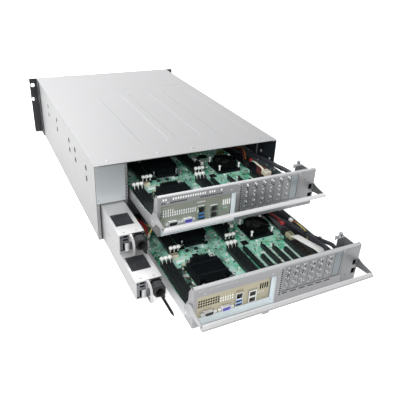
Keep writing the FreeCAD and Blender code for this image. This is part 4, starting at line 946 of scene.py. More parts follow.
def port_kit(tag):
    """The connectors at the board's rear edge."""
    k = Kit("black")
    face = DEEP
    lift = LIFT[tag]
    for x, inner, rows in ((110.2, "black", ((5, 0.0), (4, -1.3))), (SECOND[tag], "violet", ((5, 1.6), (5, -0.2), (5, -2.0)))):
        z = BT + 7.5 + lift
        k.box(x - 15.4, x + 15.4, -31.0, face - 0.9, BT, BT + 12.4 + lift, "tin", 0.4)
        k.plate("xz", d_shape(x, z, 18.6, 9.2), [d_shape(x, z, 17.4, 8.0)], face - 0.9, face + 5.4, "bright")
        k.prism("xz", d_shape(x, z, 17.3, 7.9), face - 0.9, face + 4.4, inner)
        for count, dz in rows:
            for i in range(count):
                k.rod("y", (x + (i - (count - 1) / 2) * 2.5, face + 4.35, z + dz), 0.55, 0.12, "dark_grey", 8)
        for side in (-1, 1):
            k.lathe("y", (x + side * 12.5, face - 0.4, z), [(3.2, 0), (3.2, 3.6), (2.6, 4.2), (1.3, 4.2), (1.3, 2.0), (0, 2.0)], "bright", 6)
    # two blue-tongued sockets with a network jack above, one metal can
    x0, x1, up = 42.5, 57.1, BT + 2.0 + lift
    k.box(x0, x1, -33.0, face - 3.0, BT, up + 30.8, "tin", 0.3)
    jack = rounded(x0 + 1.4, x1 - 1.4, up + 17.6, up + 28.6, 0.4, 2)
    usb = [rounded(x0 + 0.9, x1 - 0.9, up + 1.6 + 7.6 * i, up + 7.4 + 7.6 * i, 0.4, 2) for i in range(2)]
    k.plate("xz", rounded(x0, x1, up + 0.4, up + 30.8, 0.4, 2), [jack] + usb, face - 3.0, face + 1.5, "tin")
    for i in range(2):
        z = up + 1.6 + 7.6 * i
        k.box(x0 + 0.95, x1 - 0.95, face - 2.9, face - 2.2, z + 0.1, z + 5.7, "matt_black")
        k.box(x0 + 1.0, x1 - 1.0, face - 2.3, face + 1.3, z + 2.9, z + 5.4, "blue", 0.2)
        for j in range(4):
            k.box(x0 + 3.3 + 2.3 * j, x0 + 4.3 + 2.3 * j, face - 1.8, face + 0.9, z + 2.75, z + 2.92, "gold")
    k.box(x0 + 1.5, x1 - 1.5, face - 2.95, face - 2.3, up + 17.7, up + 28.5, "black")
    for j in range(8):
        k.box(x0 + 3.2 + 1.05 * j, x0 + 3.6 + 1.05 * j, face - 2.3, face + 0.4, up + 26.4, up + 26.8, "gold")
    k.box(x0 + 4.6, x1 - 4.6, face - 2.4, face + 1.3, up + 16.9, up + 17.7, "black")
    k.box(x0 + 1.4, x0 + 3.6, face + 1.2, face + 1.55, up + 29.0, up + 30.4, "green_lamp", 0.1)
    # stacked network jacks
    x0, x1, up = 13.6, 30.6, BT + 1.4 + lift
    k.box(x0, x1, -33.0, face - 3.2, BT, up + 27.8, "tin", 0.3)
    jacks = [rounded(x0 + 2.4, x1 - 2.4, up + 2.2 + 13.4 * i, up + 11.8 + 13.4 * i, 0.4, 2) for i in range(2)]
    k.plate("xz", rounded(x0, x1, up + 0.4, up + 27.8, 0.5, 2), jacks, face - 3.2, face + 1.5, "tin")
    for i in range(2):
        z = up + 2.2 + 13.4 * i
        k.box(x0 + 2.5, x1 - 2.5, face - 3.1, face - 2.4, z + 0.1, z + 9.5, "black")
        for j in range(8):
            k.box(x0 + 4.4 + 1.05 * j, x0 + 4.8 + 1.05 * j, face - 2.4, face + 0.4, z + 7.6, z + 8.0, "gold")
        k.box(x0 + 0.5, x0 + 1.9, face + 1.3, face + 1.6, z + 7.2, z + 8.8, "green_lamp", 0.1)
        k.box(x1 - 1.9, x1 - 0.5, face + 1.3, face + 1.6, z + 7.2, z + 8.8, "ivory", 0.1)
    return k


BANKS = ((135.0, -174.0, -34.0), (-14.0, -174.0, -34.0), (104.0, -342.0, -204.0), (-26.0, -342.0, -204.0))
FARS = (-159.0, -124.0, -154.0, -139.0, -129.0, -154.0)


def socket_kit():
    k = Kit("slot_black")
    for x, r0, r1 in BANKS:
        for i in range(3):
            x1 = x - 8.6 * i
            x0 = x1 - 6.8
            mid = (x0 + x1) / 2
            # two rails with the module slot between them, on a common base
            k.box(x0, x1, r0 + 6, r1 - 6, BT, BT + 3.4, "slot_black")
            k.box(x0, mid - 0.8, r0 + 6, r1 - 6, BT + 3.4, BT + 8.8, "slot_black", 0.3)
            k.box(mid + 0.8, x1, r0 + 6, r1 - 6, BT + 3.4, BT + 8.8, "slot_black", 0.3)
            k.box(mid - 0.79, mid + 0.79, r0 + 62, r0 + 64, BT + 3.4, BT + 8.4, "slot_black")
            for step in range(9):
                y = r0 + 12 + 14.0 * step
                k.box(mid - 0.79, mid - 0.6, y, y + 9.0, BT + 3.4, BT + 6.0, "dark_grey")
            for end, sign in ((r0, 1), (r1, -1)):
                y0, y1 = sorted((end, end + sign * 6))
                k.box(x0, x0 + 1.4, y0, y1, BT, BT + 13.2, "slot_black", 0.25)
                k.box(x1 - 1.4, x1, y0, y1, BT, BT + 13.2, "slot_black", 0.25)
                k.box(x0 + 1.4, x1 - 1.4, y0, y1, BT, BT + 4.0, "slot_black")
                # white ejector: a narrow stem, leaning outward, under a full rounded finger pad
                o = end
                lever = [(o + sign * 4.6, BT + 4.2), (o + sign * 0.6, BT + 4.2), (o - sign * 0.4, BT + 11.5), (o - sign * 3.0, BT + 15.0),
                         (o + sign * 1.6, BT + 15.6), (o + sign * 3.4, BT + 9.0)]
                k.prism("yz", lever, mid - 0.8, mid + 0.8, "white")
                pad = sorted((o - sign * 5.2, o + sign * 2.4))
                k.box(x0 - 0.5, x1 + 0.5, pad[0], pad[1], BT + 13.6, BT + 20.4, "white", 1.9)
    for i, far in enumerate(FARS):
        x = -51.0 - PITCH * i
        near = -58.0
        k.box(x - 3.2, x + 3.2, far, near, BT, BT + 3.6, "slot_black", 0.3)
        k.box(x - 3.2, x - 1.0, far, near, BT + 3.6, BT + 9.0, "slot_black", 0.35)
        k.box(x + 1.0, x + 3.2, far, near, BT + 3.6, BT + 9.0, "slot_black", 0.35)
        k.box(x - 1.0, x + 1.0, far, far + 3.0, BT + 3.6, BT + 9.0, "slot_black")
        k.box(x - 1.0, x + 1.0, near - 3.0, near, BT + 3.6, BT + 9.0, "slot_black")
        k.box(x - 1.0, x + 1.0, near - 15.0, near - 13.0, BT + 3.6, BT + 9.0, "slot_black")
        step = near - 17.0
        while step > far + 8:
            k.box(x - 0.98, x - 0.74, step - 6.0, step, BT + 3.6, BT + 6.8, "dark_grey")
            k.box(x + 0.74, x + 0.98, step - 6.0, step, BT + 3.6, BT + 6.8, "dark_grey")
            step -= 8.0
        # retention hook at the far end of the longer slots
        if far < -130:
            k.box(x - 2.6, x + 2.6, far - 5.0, far, BT, BT + 7.4, "slot_black", 0.6)
            k.box(x - 1.8, x + 1.8, far - 6.4, far - 3.8, BT + 7.4, BT + 11.0, "slot_black", 0.6)
    # a row of drive connectors along the right edge of the board
    for i in range(6):
        y = -142.0 + 10.4 * i
        k.box(-164.6, -158.0, y, y + 9.2, BT, BT + 8.6, "slot_black", 0.4)
        k.box(-162.0, -160.4, y + 1.4, y + 7.8, BT + 8.5, BT + 8.75, "bronze")
        k.box(-164.2, -163.2, y + 3.2, y + 6.0, BT + 8.0, BT + 10.4, "bronze", 0.3)
        k.box(-172.6, -165.2, y - 1.0, y + 8.0, 1.4, BT + 7.4, "matt_black", 0.5)
        k.box(-170.6, -168.0, y + 0.6, y + 6.6, BT + 7.3, BT + 8.0, "bronze", 0.2)
    return k


def heatsink_kit():
    k = Kit("black_fin")
    for x0, x1, r0, r1 in ((30.0, 95.0, -152.0, -64.0), (10.0, 75.0, -300.0, -210.0)):
        k.box(x0 + 8, x1 - 8, r0 + 16, r1 - 16, BT, BT + 4.0, "ivory", 0.4)
        # base and fins keep clear of the four corners
        a, b = 12.0, 14.0
        k.prism("xy", [(x0 + a, r0), (x1 - a, r0), (x1 - a, r0 + b), (x1, r0 + b), (x1, r1 - b), (x1 - a, r1 - b), (x1 - a, r1), (x0 + a, r1), (x0 + a, r1 - b), (x0, r1 - b), (x0, r0 + b), (x0 + a, r0 + b)], BT + 4.0, BT + 9.5, "black_fin")
        count = 25
        for i in range(count):
            x = x0 + 0.8 + (x1 - x0 - 1.6) * i / (count - 1)
            edge = b if min(x - x0, x1 - x) < a else 0.5
            ragged = (0.0, 1.1, 0.4, 1.6, 0.2)[i % 5]
            k.box(x - 0.5, x + 0.5, r0 + edge + ragged, r1 - edge - ragged, BT + 9.5, BT + 24.8 - 0.7 * (i % 2), "black_fin")
        # two clips tie the fin tips together
        for t in (0.3, 0.7):
            y = r0 + (r1 - r0) * t
            k.box(x0 + 0.4, x1 - 0.4, y - 2.2, y + 2.2, BT + 24.2, BT + 25.0, "black_fin", 0.25)
        for sx in (x0 + 5.0, x1 - 5.0):
            for sy in (r0 + 6, r1 - 6):
                k.box(sx - 4.6, sx + 4.6, sy - 5.4, sy + 5.4, BT, BT + 5.2, "black_fin", 0.5)
                k.rod("z", (sx, sy, BT + 5.2), 2.6, 4.3, "steel", 14)
                k.rod("z", (sx, sy, BT + 9.5), 1.5, 9.0, "steel", 12)
                for turn in range(4):
                    k.ring("z", (sx, sy, BT + 10.0 + 1.9 * turn), 2.7, 1.9, 0.8, "steel", 14)
                screw_head(k, "z", (sx, sy, BT + 18.5), 3.0, 1.6)
    # low cooler with a round blower
    cx, cy = -112.0, -216.0
    k.box(cx - 30, cx + 30, cy - 30, cy + 30, BT, BT + 5.0, "black_fin", 0.6)
    for i in range(36):
        a = 2 * math.pi * i / 36
        c, s = math.cos(a), math.sin(a)
        quad = [(16.0, -0.4), (28.6, -0.4), (28.6, 0.4), (16.0, 0.4)]
        k.prism("xy", [(cx + r * c - t * s, cy + r * s + t * c) for r, t in quad], BT + 5.0, BT + 15.0, "black_fin")
    # painted shade: the ring round the blower is near-black to read as shaded
    k.ring("z", (cx, cy, BT + 13.0), 29.0, 26.4, 9.0, "void", 48, 0.6)
    k.lathe("z", (cx, cy, BT + 9.0), [(12.0, 0), (12.0, 11.0), (10.8, 12.2), (0, 12.2)], "black", 32)
    for i in range(9):
        a0 = 2 * math.pi * i / 9
        blade = []
        for r, lead in ((11.5, 0.0), (16.0, 0.16), (21.0, 0.26), (25.4, 0.32)):
            blade.append((r, a0 + lead, a0 + lead + 0.42 * (1.0 - 0.25 * (r - 11.5) / 14)))
        v, f = [], []
        for r, a, b in blade:
            for angle, z in ((a, BT + 19.6), (b, BT + 14.4), (b, BT + 13.6), (a, BT + 18.8)):
                v.append((cx + r * math.cos(angle), cy + r * math.sin(angle), z))
        for j in range(3):
            for s in range(4):
                t = (s + 1) % 4
                f.append((j * 4 + s, j * 4 + t, j * 4 + 4 + t, j * 4 + 4 + s))
        f += [(0, 1, 2, 3), (12, 13, 14, 15)]
        k.add(v, f, "black")
    for i in range(3):
        a = 2 * math.pi * i / 3 + 0.4
        c, s = math.cos(a), math.sin(a)
        quad = [(0.0, -1.5), (27.0, -1.5), (27.0, 1.5), (0.0, 1.5)]
        k.prism("xy", [(cx + r * c - t * s, cy + r * s + t * c) for r, t in quad], BT + 21.2, BT + 22.0, "black")
    for sx in (-1, 1):
        for sy in (-1, 1):
            px, py = cx + sx * 26.0, cy + sy * 26.0
            k.rod("z", (px, py, BT + 5.0), 3.6, 4.0, "black", 16, 0.4)
            k.lathe("z", (px, py, BT + 9.0), [(2.0, 0), (2.0, 9.0), (3.1, 9.6), (3.1, 11.4), (2.2, 12.4), (0, 12.4)], "white", 16)
    return k


KEEP_OUT = [(30, 95, -152, -64), (10, 75, -300, -210), (-144, -80, -248, -184)]
KEEP_OUT += [(x - 26, x + 1, r0 - 6, r1 + 6) for x, r0, r1 in BANKS]
KEEP_OUT += [(-165, -157, -144, -79)]
KEEP_OUT += [(-51.0 - PITCH * i - 5, -51.0 - PITCH * i + 5, far - 9, -56) for i, far in enumerate(FARS)]
KEEP_OUT += [(92, 125, -36, -10), (53, 86, -36, -10), (40, 58, -36, -10), (10, 31, -36, -10)]


def is_free(taken, x0, x1, y0, y1, gap=0.6):
    for a0, a1, b0, b1 in taken:
        if x0 < a1 + gap and x1 > a0 - gap and y0 < b1 + gap and y1 > b0 - gap:
            return False
    return True


def board_kit():
    k = Kit("board")
    pads = [(-155.0, -25.0), (-5.0, -25.0), (130.0, -25.0), (-155.0, -180.0), (-5.0, -180.0), (130.0, -180.0), (-155.0, -335.0), (-5.0, -335.0), (130.0, -335.0)]
    k.plate("xy", rounded(-165, 140, -344, -14, 1.5, 3), [circle(x, y, 1.9, 16) for x, y in pads], BT - 1.6, BT, "board")
    taken = list(KEEP_OUT)
    for x, y in pads:
        k.ring("z", (x, y, BT), 3.9, 1.9, 0.06, "tin", 20)
        screw_head(k, "z", (x, y, BT + 0.06), 3.2, 1.6)
        taken.append((x - 4.5, x + 4.5, y - 4.5, y + 4.5))

    def place(x0, x1, y0, y1, height, mat, c=0.2):
        k.box(x0, x1, y0, y1, BT, BT + height, mat, c)
        taken.append((x0, x1, y0, y1))

    # board power connectors, drive connectors, headers
    for x, y, cols, rows in ((-150.0, -340.0, 12, 2), (60.0, -340.0, 4, 2), (90.0, -196.0, 4, 2)):
        w, d = cols * 4.2 + 1.6, rows * 4.2 + 1.8
        if is_free(taken, x, x + w, y, y + d):
            place(x, x + w, y, y + d, 9.0, "ivory", 0.4)
            for i in range(cols):
                for j in range(rows):
                    px, py = x + 2.9 + 4.2 * i, y + 3.0 + 4.2 * j
                    k.box(px - 1.5, px + 1.5, py - 1.5, py + 1.5, BT + 8.9, BT + 9.12, "dark_grey")
                    k.box(px - 0.5, px + 0.5, py - 0.5, py + 0.5, BT + 9.0, BT + 10.6, "gold")
    for i in range(6):
        x = -72.0 + (i % 3) * 9.0
        y = -262.0 - (i // 3) * 18.0
        if is_free(taken, x, x + 7.0, y, y + 15.0):
            place(x, x + 7.0, y, y + 15.0, 8.4, "white" if i % 2 == 0 else "black", 0.4)
            k.box(x + 2.6, x + 4.4, y + 2.0, y + 13.0, BT + 8.3, BT + 8.6, "dark_grey")
    for x, y, n in ((-60.0, -28.0, 10), (-100.0, -28.0, 8), (-140.0, -40.0, 5), (-158.0, -300.0, 10)):
        along_x = n in (10, 8, 5)
        w, d = (n * 2.54, 5.1) if along_x else (5.1, n * 2.54)
        if is_free(taken, x, x + w, y, y + d):
            place(x, x + w, y, y + d, 2.5, "black", 0.2)
            for i in range(n):
                for j in range(2):
                    px = x + 1.27 + 2.54 * (i if along_x else j)
                    py = y + 1.27 + 2.54 * (j if along_x else i)
                    k.box(px - 0.32, px + 0.32, py - 0.32, py + 0.32, BT + 2.5, BT + 8.2, "gold")
    # larger packages with leads
    for x, y, s in ((-32.0, -195.0, 24.0), (-72.0, -190.0, 14.0), (28.0, -46.0, 12.0), (66.0, -48.0, 14.0), (-150.0, -62.0, 9.0), (110.0, -196.0, 10.0), (22.0, -330.0, 16.0), (48.0, -186.0, 12.0), (-100.0, -300.0, 18.0), (-135.0, -290.0, 12.0)):
        if is_free(taken, x - 1.5, x + s + 1.5, y - 1.5, y + s + 1.5, 0.2):
            k.box(x, x + s, y, y + s, BT + 0.3, BT + 1.7, "chip", 0.15)
            taken.append((x - 1.5, x + s + 1.5, y - 1.5, y + s + 1.5))
            count = int(s / 0.9)
            for i in range(count):
                t = (i + 0.5) * s / count
                for px, py, dx, dy in ((x + t, y - 0.6, 0.2, 0.6), (x + t, y + s + 0.6, 0.2, 0.6), (x - 0.6, y + t, 0.6, 0.2), (x + s + 0.6, y + t, 0.6, 0.2)):
                    k.box(px - dx, px + dx, py - dy, py + dy, BT, BT + 0.5, "tin")
            k.rod("z", (x + 1.5, y + 1.5, BT + 1.7), 0.5, 0.04, "grey", 8)
    # coin cell
    k.rod("z", (-152.0, -258.0, BT), 10.6, 2.0, "black", 28, 0.3)
    k.rod("z", (-152.0, -258.0, BT + 2.0), 10.0, 2.4, "tin", 32, 0.4)
    taken.append((-163, -141, -269, -247))
    rng = random.Random(4)
    # pale blocks between the processors and a row of small parts along the near one
    for x0, x1, y0, y1, h, mat in ((44.0, 66.0, -163.0, -158.0, 4.0, "white"), (72.0, 92.0, -164.0, -159.0, 3.0, "ivory"), (18.0, 38.0, -170.0, -164.0, 3.4, "white"), (82.0, 100.0, -176.0, -171.0, 3.0, "white"),
                                   (56.0, 78.0, -179.0, -174.0, 2.6, "ivory")):
        if is_free(taken, x0, x1, y0, y1, 0.3):
            place(x0, x1, y0, y1, h, mat, 0.4)
    for i in range(13):
        y = -150.0 + 6.6 * i
        if is_free(taken, 96.4, 99.6, y, y + 4.8, 0.1):
            place(96.4, 99.6, y, y + 4.8, 2.2 + 0.9 * (i % 3), ("white", "gold", "tin", "white")[i % 4], 0.25)
    # chokes and electrolytics round the processors
    for x0, y0, nx, ny, dx, dy in ((100.0, -150.0, 1, 8, 9.0, 11.5), (14.0, -150.0, 2, 7, 8.0, 12.0), (80.0, -206.0, 2, 1, 10.0, 10.0), (-2.0, -300.0, 1, 8, 9.0, 11.0), (40.0, -205.0, 3, 1, 10.5, 10.0), (20.0, -56.0, 2, 2, 10.5, 10.5)):
        for i in range(nx):
            for j in range(ny):
                x, y = x0 + dx * i, y0 + dy * j
                if not is_free(taken, x, x + 7.0, y, y + 7.0, 0.3):
                    continue
                if (i + j) % 2 == 0:
                    place(x, x + 7.0, y, y + 7.0, 4.4, "grey" if j % 4 else "smoke", 0.6)
                else:
                    k.rod("z", (x + 3.5, y + 3.5, BT), 3.3, 0.8, "black", 18)
                    k.lathe("z", (x + 3.5, y + 3.5, BT + 0.8), [(3.0, 0), (3.0, 6.4), (2.7, 7.0), (0, 7.0)], "tin", 18)
                    taken.append((x, x + 7.0, y, y + 7.0))
    # small parts over the rest of the board
    kinds = (("tan", 1.6, 0.9, 0.9), ("tin", 1.2, 0.7, 0.6), ("chip", 1.7, 1.0, 0.6), ("white", 2.0, 1.2, 0.5), ("chip", 3.6, 3.0, 1.0), ("tan", 3.2, 1.6, 1.6), ("white", 5.0, 3.4, 2.4), ("tin", 4.4, 2.4, 1.6), ("bronze", 3.0, 2.6, 1.8))
    weights = (10, 26, 8, 24, 3, 4, 9, 8, 3)
    placed = 0
    for _ in range(12000):
        mat, a, b, h = rng.choices(kinds, weights)[0]
        if rng.random() < 0.5:
            a, b = b, a
        x, y = rng.uniform(-163, 136), rng.uniform(-342, -18)
        if not is_free(taken, x, x + a, y, y + b, 0.5):
            continue
        k.box(x, x + a, y, y + b, BT, BT + h, mat)
        if mat in ("tan", "white") and a * b < 4:
            if a > b:
                k.box(x - 0.02, x + 0.3, y - 0.02, y + b + 0.02, BT, BT + h + 0.02, "tin")
                k.box(x + a - 0.3, x + a + 0.02, y - 0.02, y + b + 0.02, BT, BT + h + 0.02, "tin")
            else:
                k.box(x - 0.02, x + a + 0.02, y - 0.02, y + 0.3, BT, BT + h + 0.02, "tin")
                k.box(x - 0.02, x + a + 0.02, y + b - 0.3, y + b + 0.02, BT, BT + h + 0.02, "tin")
        taken.append((x, x + a, y, y + b))
        placed += 1
        if placed >= 1050:
            break
    # printed guide lines: between the slots, beside the memory banks, round the processors
    for i, far in zip(range(1, 6), (-132.0, -136.0, -131.0, -127.0, -140.0)):
        x = -51.0 - PITCH * i + 6.0
        k.box(x - 1.9, x + 1.9, far, -56.0, BT, BT + 0.3, "print")
        k.lathe("z", (x, far - 1.0, BT), [(4.4, 0), (4.4, 0.25), (2.3, 0.3), (2.2, 0.9), (0, 0.9)], "print", 24)
    for x, y in ((-51.0, -178.0), (124.0, -196.0), (128.0, -212.0), (120.0, -226.0)):
        k.ring("z", (x, y, BT), 4.2, 2.6, 0.12, "print", 24)
    # the board's pale cut edge along the left
    k.box(138.4, 140.0, -343.0, -15.0, BT, BT + 0.1, "print")
    for x0, x1, r0, r1 in KEEP_OUT[:3]:
        for a0, a1, b0, b1 in ((x0 - 4, x1 + 4, r0 - 4.6, r0 - 4), (x0 - 4, x1 + 4, r1 + 4, r1 + 4.6), (x0 - 4.6, x0 - 4, r0 - 4, r1 + 4), (x1 + 4, x1 + 4.6, r0 - 4, r1 + 4)):
            k.box(a0, a1, b0, b1, BT, BT + 0.04, "print")
    return k


def ribbon(k, points, width, mat, count=9, r=0.95):
    """A flat lead: conductors side by side in one skin."""
    line = curve_points(points)
    for i in range(count):
        dx = (i - (count - 1) / 2) * width / count
        k.tube([(q.x + dx, q.y, q.z) for q in line], r, mat, 8)


def loom_kit(tag):
    """Leads along the right side of the tray."""
    k = Kit("sleeve")
    upper = tag == "upper"
    # painted shade: a dark grey sheet over the inside of the tray's right wall and a dark strip on the floor along its
    # foot stand for its shade and cast shadow; clinched studs on the wall
    k.box(-209.2, -208.9, -338.0, -34.0, 2.0, 23.0, "film_grey")
    k.box(-208.8, -173.0, -338.0, -38.0, 1.3, 1.7, "film")
    for y, z in ((-215.0, 14.0), (-174.8, 16.8), (-156.9, 12.7), (-143.7, 18.1), (-262.0, 15.0), (-318.0, 15.0)):
        k.lathe("x", (-208.9, y, z), [(2.3, 0), (2.0, 0.6), (1.1, 1.0), (0, 1.1)], "bright", 14)
    if upper:
        k.tube(curve_points([(-176, -425, 9), (-182, -380, 9), (-184, -330, 10), (-185, -280, 14), (-186, -235, 26), (-189, -193, 36), (-193, -150, 40), (-196.5, -112, 42), (-199.5, -84, 44),
                             (-200, -66, 43), (-199, -54, 35), (-198, -48, 20), (-198, -45, 6)]), 5.0, "sleeve", 16)
        k.box(-184.0, -167.0, -136.0, -117.0, 18.0, 29.0, "ivory", 1.2)
        for i in range(4):
            k.box(-182.0 + 3.8 * i, -180.4 + 3.8 * i, -133.0, -121.0, 28.8, 29.3, "grey")
        k.box(-183.0, -168.0, -158.0, -139.0, 12.0, 30.0, "maroon", 1.0)
        k.box(-180.0, -171.0, -155.0, -142.0, 29.8, 31.6, "bronze", 0.5)
        k.box(-171.0, -164.0, -188.0, -180.0, 29.0, 35.0, "red_wire", 0.9)
        k.box(-170.0, -165.0, -180.2, -177.4, 30.0, 34.0, "dark_grey")
        for i, mat in enumerate(("cream_wire", "yellow_wire", "cream_wire")):
            x = -165.8 - 1.7 * i
            k.tube(curve_points([(x, -178, 32.4), (x + 1.5, -165, 36), (x + 2.0, -150, 35.5), (x - 1.0, -140, 33), (x - 4.0, -133, 28)]), 0.8, mat, 8)
        for i, mat in enumerate(("orange_wire", "bronze", "maroon")):
            x, z = -184.0 + 2.4 * i, 33.0 - 2.0 * i
            k.tube(curve_points([(x + 3, -330, 8), (x - 2, -300, 14), (x - 3, -272, z - 4), (x, -252, z + 1), (x + 3, -238, z - 3), (x + 5, -226, z - 14), (x + 6, -216, 10), (x + 6, -208, 3)]), 0.95, mat, 8)
        k.box(-184.0, -170.0, -212.0, -196.0, 1.4, 12.0, "black", 0.8)
        k.box(-171.5, -160.5, -210.0, -193.0, 9.0, 24.0, "matt_black", 0.8)
        ties = (((-190.6, -176.0, 37.6), 5.9), ((-197.6, -100.0, 42.8), 5.9), ((-185.6, -252.0, 21.2), 5.9))
    else:
        k.tube(curve_points([(-168, -400, 8), (-174, -340, 9), (-177, -290, 10), (-177, -235, 18), (-176, -195, 28), (-181, -160, 31.5), (-184, -137, 33), (-186, -112, 35.5), (-185, -86, 38.5), (-182, -66, 42),
                             (-178, -56, 43), (-176, -49, 34), (-175, -45, 18), (-174, -43, 5)]), 4.4, "sleeve", 16)
        k.tube(curve_points([(-178, -425, 9), (-184, -380, 9), (-186, -330, 10), (-186, -280, 11), (-184, -235, 16), (-183, -196, 20), (-188, -160, 24), (-191, -137, 28), (-194, -112, 34), (-197, -84, 40),
                             (-199.5, -62, 44), (-200, -51, 36), (-199, -45, 20), (-198, -43, 5)]), 4.2, "sleeve", 16)
        ribbon(k, [(-168, -150, 20), (-170, -143, 23.4), (-174, -118, 25.4), (-177.5, -95, 27.6), (-180, -78, 29), (-181, -66, 26), (-181, -57, 14), (-181, -52, 4)], 18.0, "cream_wire", 11, 1.0)
        k.box(-173.0, -159.0, -168.0, -148.0, 12.0, 22.5, "olive", 0.9)
        k.box(-168.2, -165.2, -165.0, -152.0, 22.3, 22.8, "dark_grey")
        k.box(-171.0, -160.5, -188.0, -170.0, 4.0, 20.0, "matt_black", 0.8)
        k.box(-171.0, -162.5, -199.0, -189.0, 26.0, 32.0, "red_wire", 0.9)
        k.box(-197.6, -190.4, -203.0, -193.0, 25.0, 32.0, "white", 1.0)
        k.tube(curve_points([(-192, -193, 29), (-192.6, -184, 33), (-192.6, -172, 34)]), 1.1, "orange_wire", 8)
        k.tube(curve_points([(-192.6, -172, 34), (-192.8, -158, 34), (-193, -146, 33), (-193, -136, 27), (-192, -130, 14), (-192, -127, 3)]), 1.1, "yellow_wire", 8)
        for i, mat in enumerate(("red_wire", "black_wire", "red_wire", "black_wire")):
            x = -164.0 - 1.9 * i
            k.tube(curve_points([(x, -198, 29), (x - 1, -210, 31), (x - 3, -230, 28), (x - 6, -258, 22), (x - 8, -296, 15), (x - 7, -345, 11), (x - 5, -395, 9)]), 1.0, mat, 8)
        for i in range(3):
            k.tube(curve_points([(-195.8 + 1.8 * i, -202, 28), (-194 + 1.8 * i, -216, 29), (-190 + 1.8 * i, -240, 22), (-190 + 1.8 * i, -280, 19), (-188 + 1.8 * i, -340, 17), (-186 + 1.8 * i, -395, 15)]), 0.9, "black_wire", 8)
        ties = (((-183.6, -130.0, 35.4), 5.2), ((-195.0, -98.0, 39.3), 5.0), ((-177.0, -262.0, 12.8), 5.2))
    # ties round the sleeved leads
    for (x, y, z), r in ties:
        k.ring("y", (x, y - 1.2, z), r, r - 1.2, 2.4, "black", 20)
    return k


def side_lead_kit():
    """Leads that rise from the board beside the power supplies."""
    k = Kit("white_wire")
    k.box(132.8, 140.2, -243.0, -232.0, BT, BT + 6.0, "white", 0.6)
    k.tube(curve_points([(136.4, -237, BT + 5), (137, -235, 19), (138, -236, 32), (138.6, -230, 45), (138.6, -225, 54)]), 2.7, "white_wire", 12)
    k.ring("z", (138.3, -232.6, 38.0), 3.6, 2.6, 2.0, "black", 18)
    k.tube(curve_points([(138.6, -226, 52), (138.2, -221, 61), (135.6, -221, 66), (131, -229, 65), (127, -252, 54), (124, -292, 35), (121, -340, 16), (120, -358, 13)]), 1.5, "yellow_wire", 10)
    k.tube(curve_points([(137.6, -227, 50), (136.4, -223, 58), (133.6, -224, 61), (128, -233, 60), (123.6, -256, 50), (120, -294, 32), (117, -340, 15), (116, -358, 13)]), 1.2, "black_wire", 8)
    for i in range(3):
        k.tube(curve_points([(138.4, -233 - i, 36 + 2 * i), (137.8, -240 - i, 42 + i), (137.0 - 2.6 * i, -258, 47.6 - 1.2 * i), (136.6 - 3.0 * i, -280, 46.6 - 1.2 * i), (136.2 - 3.0 * i, -304, 40 - 1.2 * i), (137.0 - 2.0 * i, -330, 26 - i), (139.0 - 0.6 * i, -352, 16 - i), (139.4 - 0.4 * i, -358, 14 - i)]), 1.7, "red_wire", 8)
    k.box(112.0, 143.0, -368.0, -355.0, 1.4, 18.0, "black", 0.8)
    return k


def bracket_detail_kit():
    k = Kit("pan")
    # stiffening beads and fixings on the latch bracket
    back = -43.0
    k.lathe("y", (-196.0, back, 52.0), [(2.6, 0), (2.6, -0.9), (1.6, -1.3), (0, -1.3)], "steel", 18)
    k.lathe("y", (-196.0, back, 40.0), [(2.6, 0), (2.6, -0.9), (1.6, -1.3), (0, -1.3)], "steel", 18)
    k.box(-194.0, -190.4, back - 8.0, back - 7.0, 66.0, 73.3, "pan", 0.2)
    k.ring("z", (-200.0, back - 4.0, 74.5), 5.2, 2.85, 0.22, "steel", 24)
    return k


def plunger_kit():
    k = Kit("steel")
    up, x, y = 74.5, -200.0, -47.0
    k.rod("z", (x, y, up - 14), 2.5, 19.2, "steel", 20, 0.4)
    profile = [(2.5, 4.8), (3.5, 5.0), (3.9, 5.5), (3.9, 8.2), (3.4, 8.9), (0, 9.0)]
    k.lathe("z", (x, y, up), profile, "steel", 28)
    for i in range(18):
        a = 2 * math.pi * i / 18
        c, s = math.cos(a), math.sin(a)
        quad = [(3.7, -0.35), (4.12, -0.25), (4.12, 0.25), (3.7, 0.35)]
        k.prism("xy", [(x + r * c - t * s, y + r * s + t * c) for r, t in quad], up + 5.6, up + 8.1, "steel")
    return k


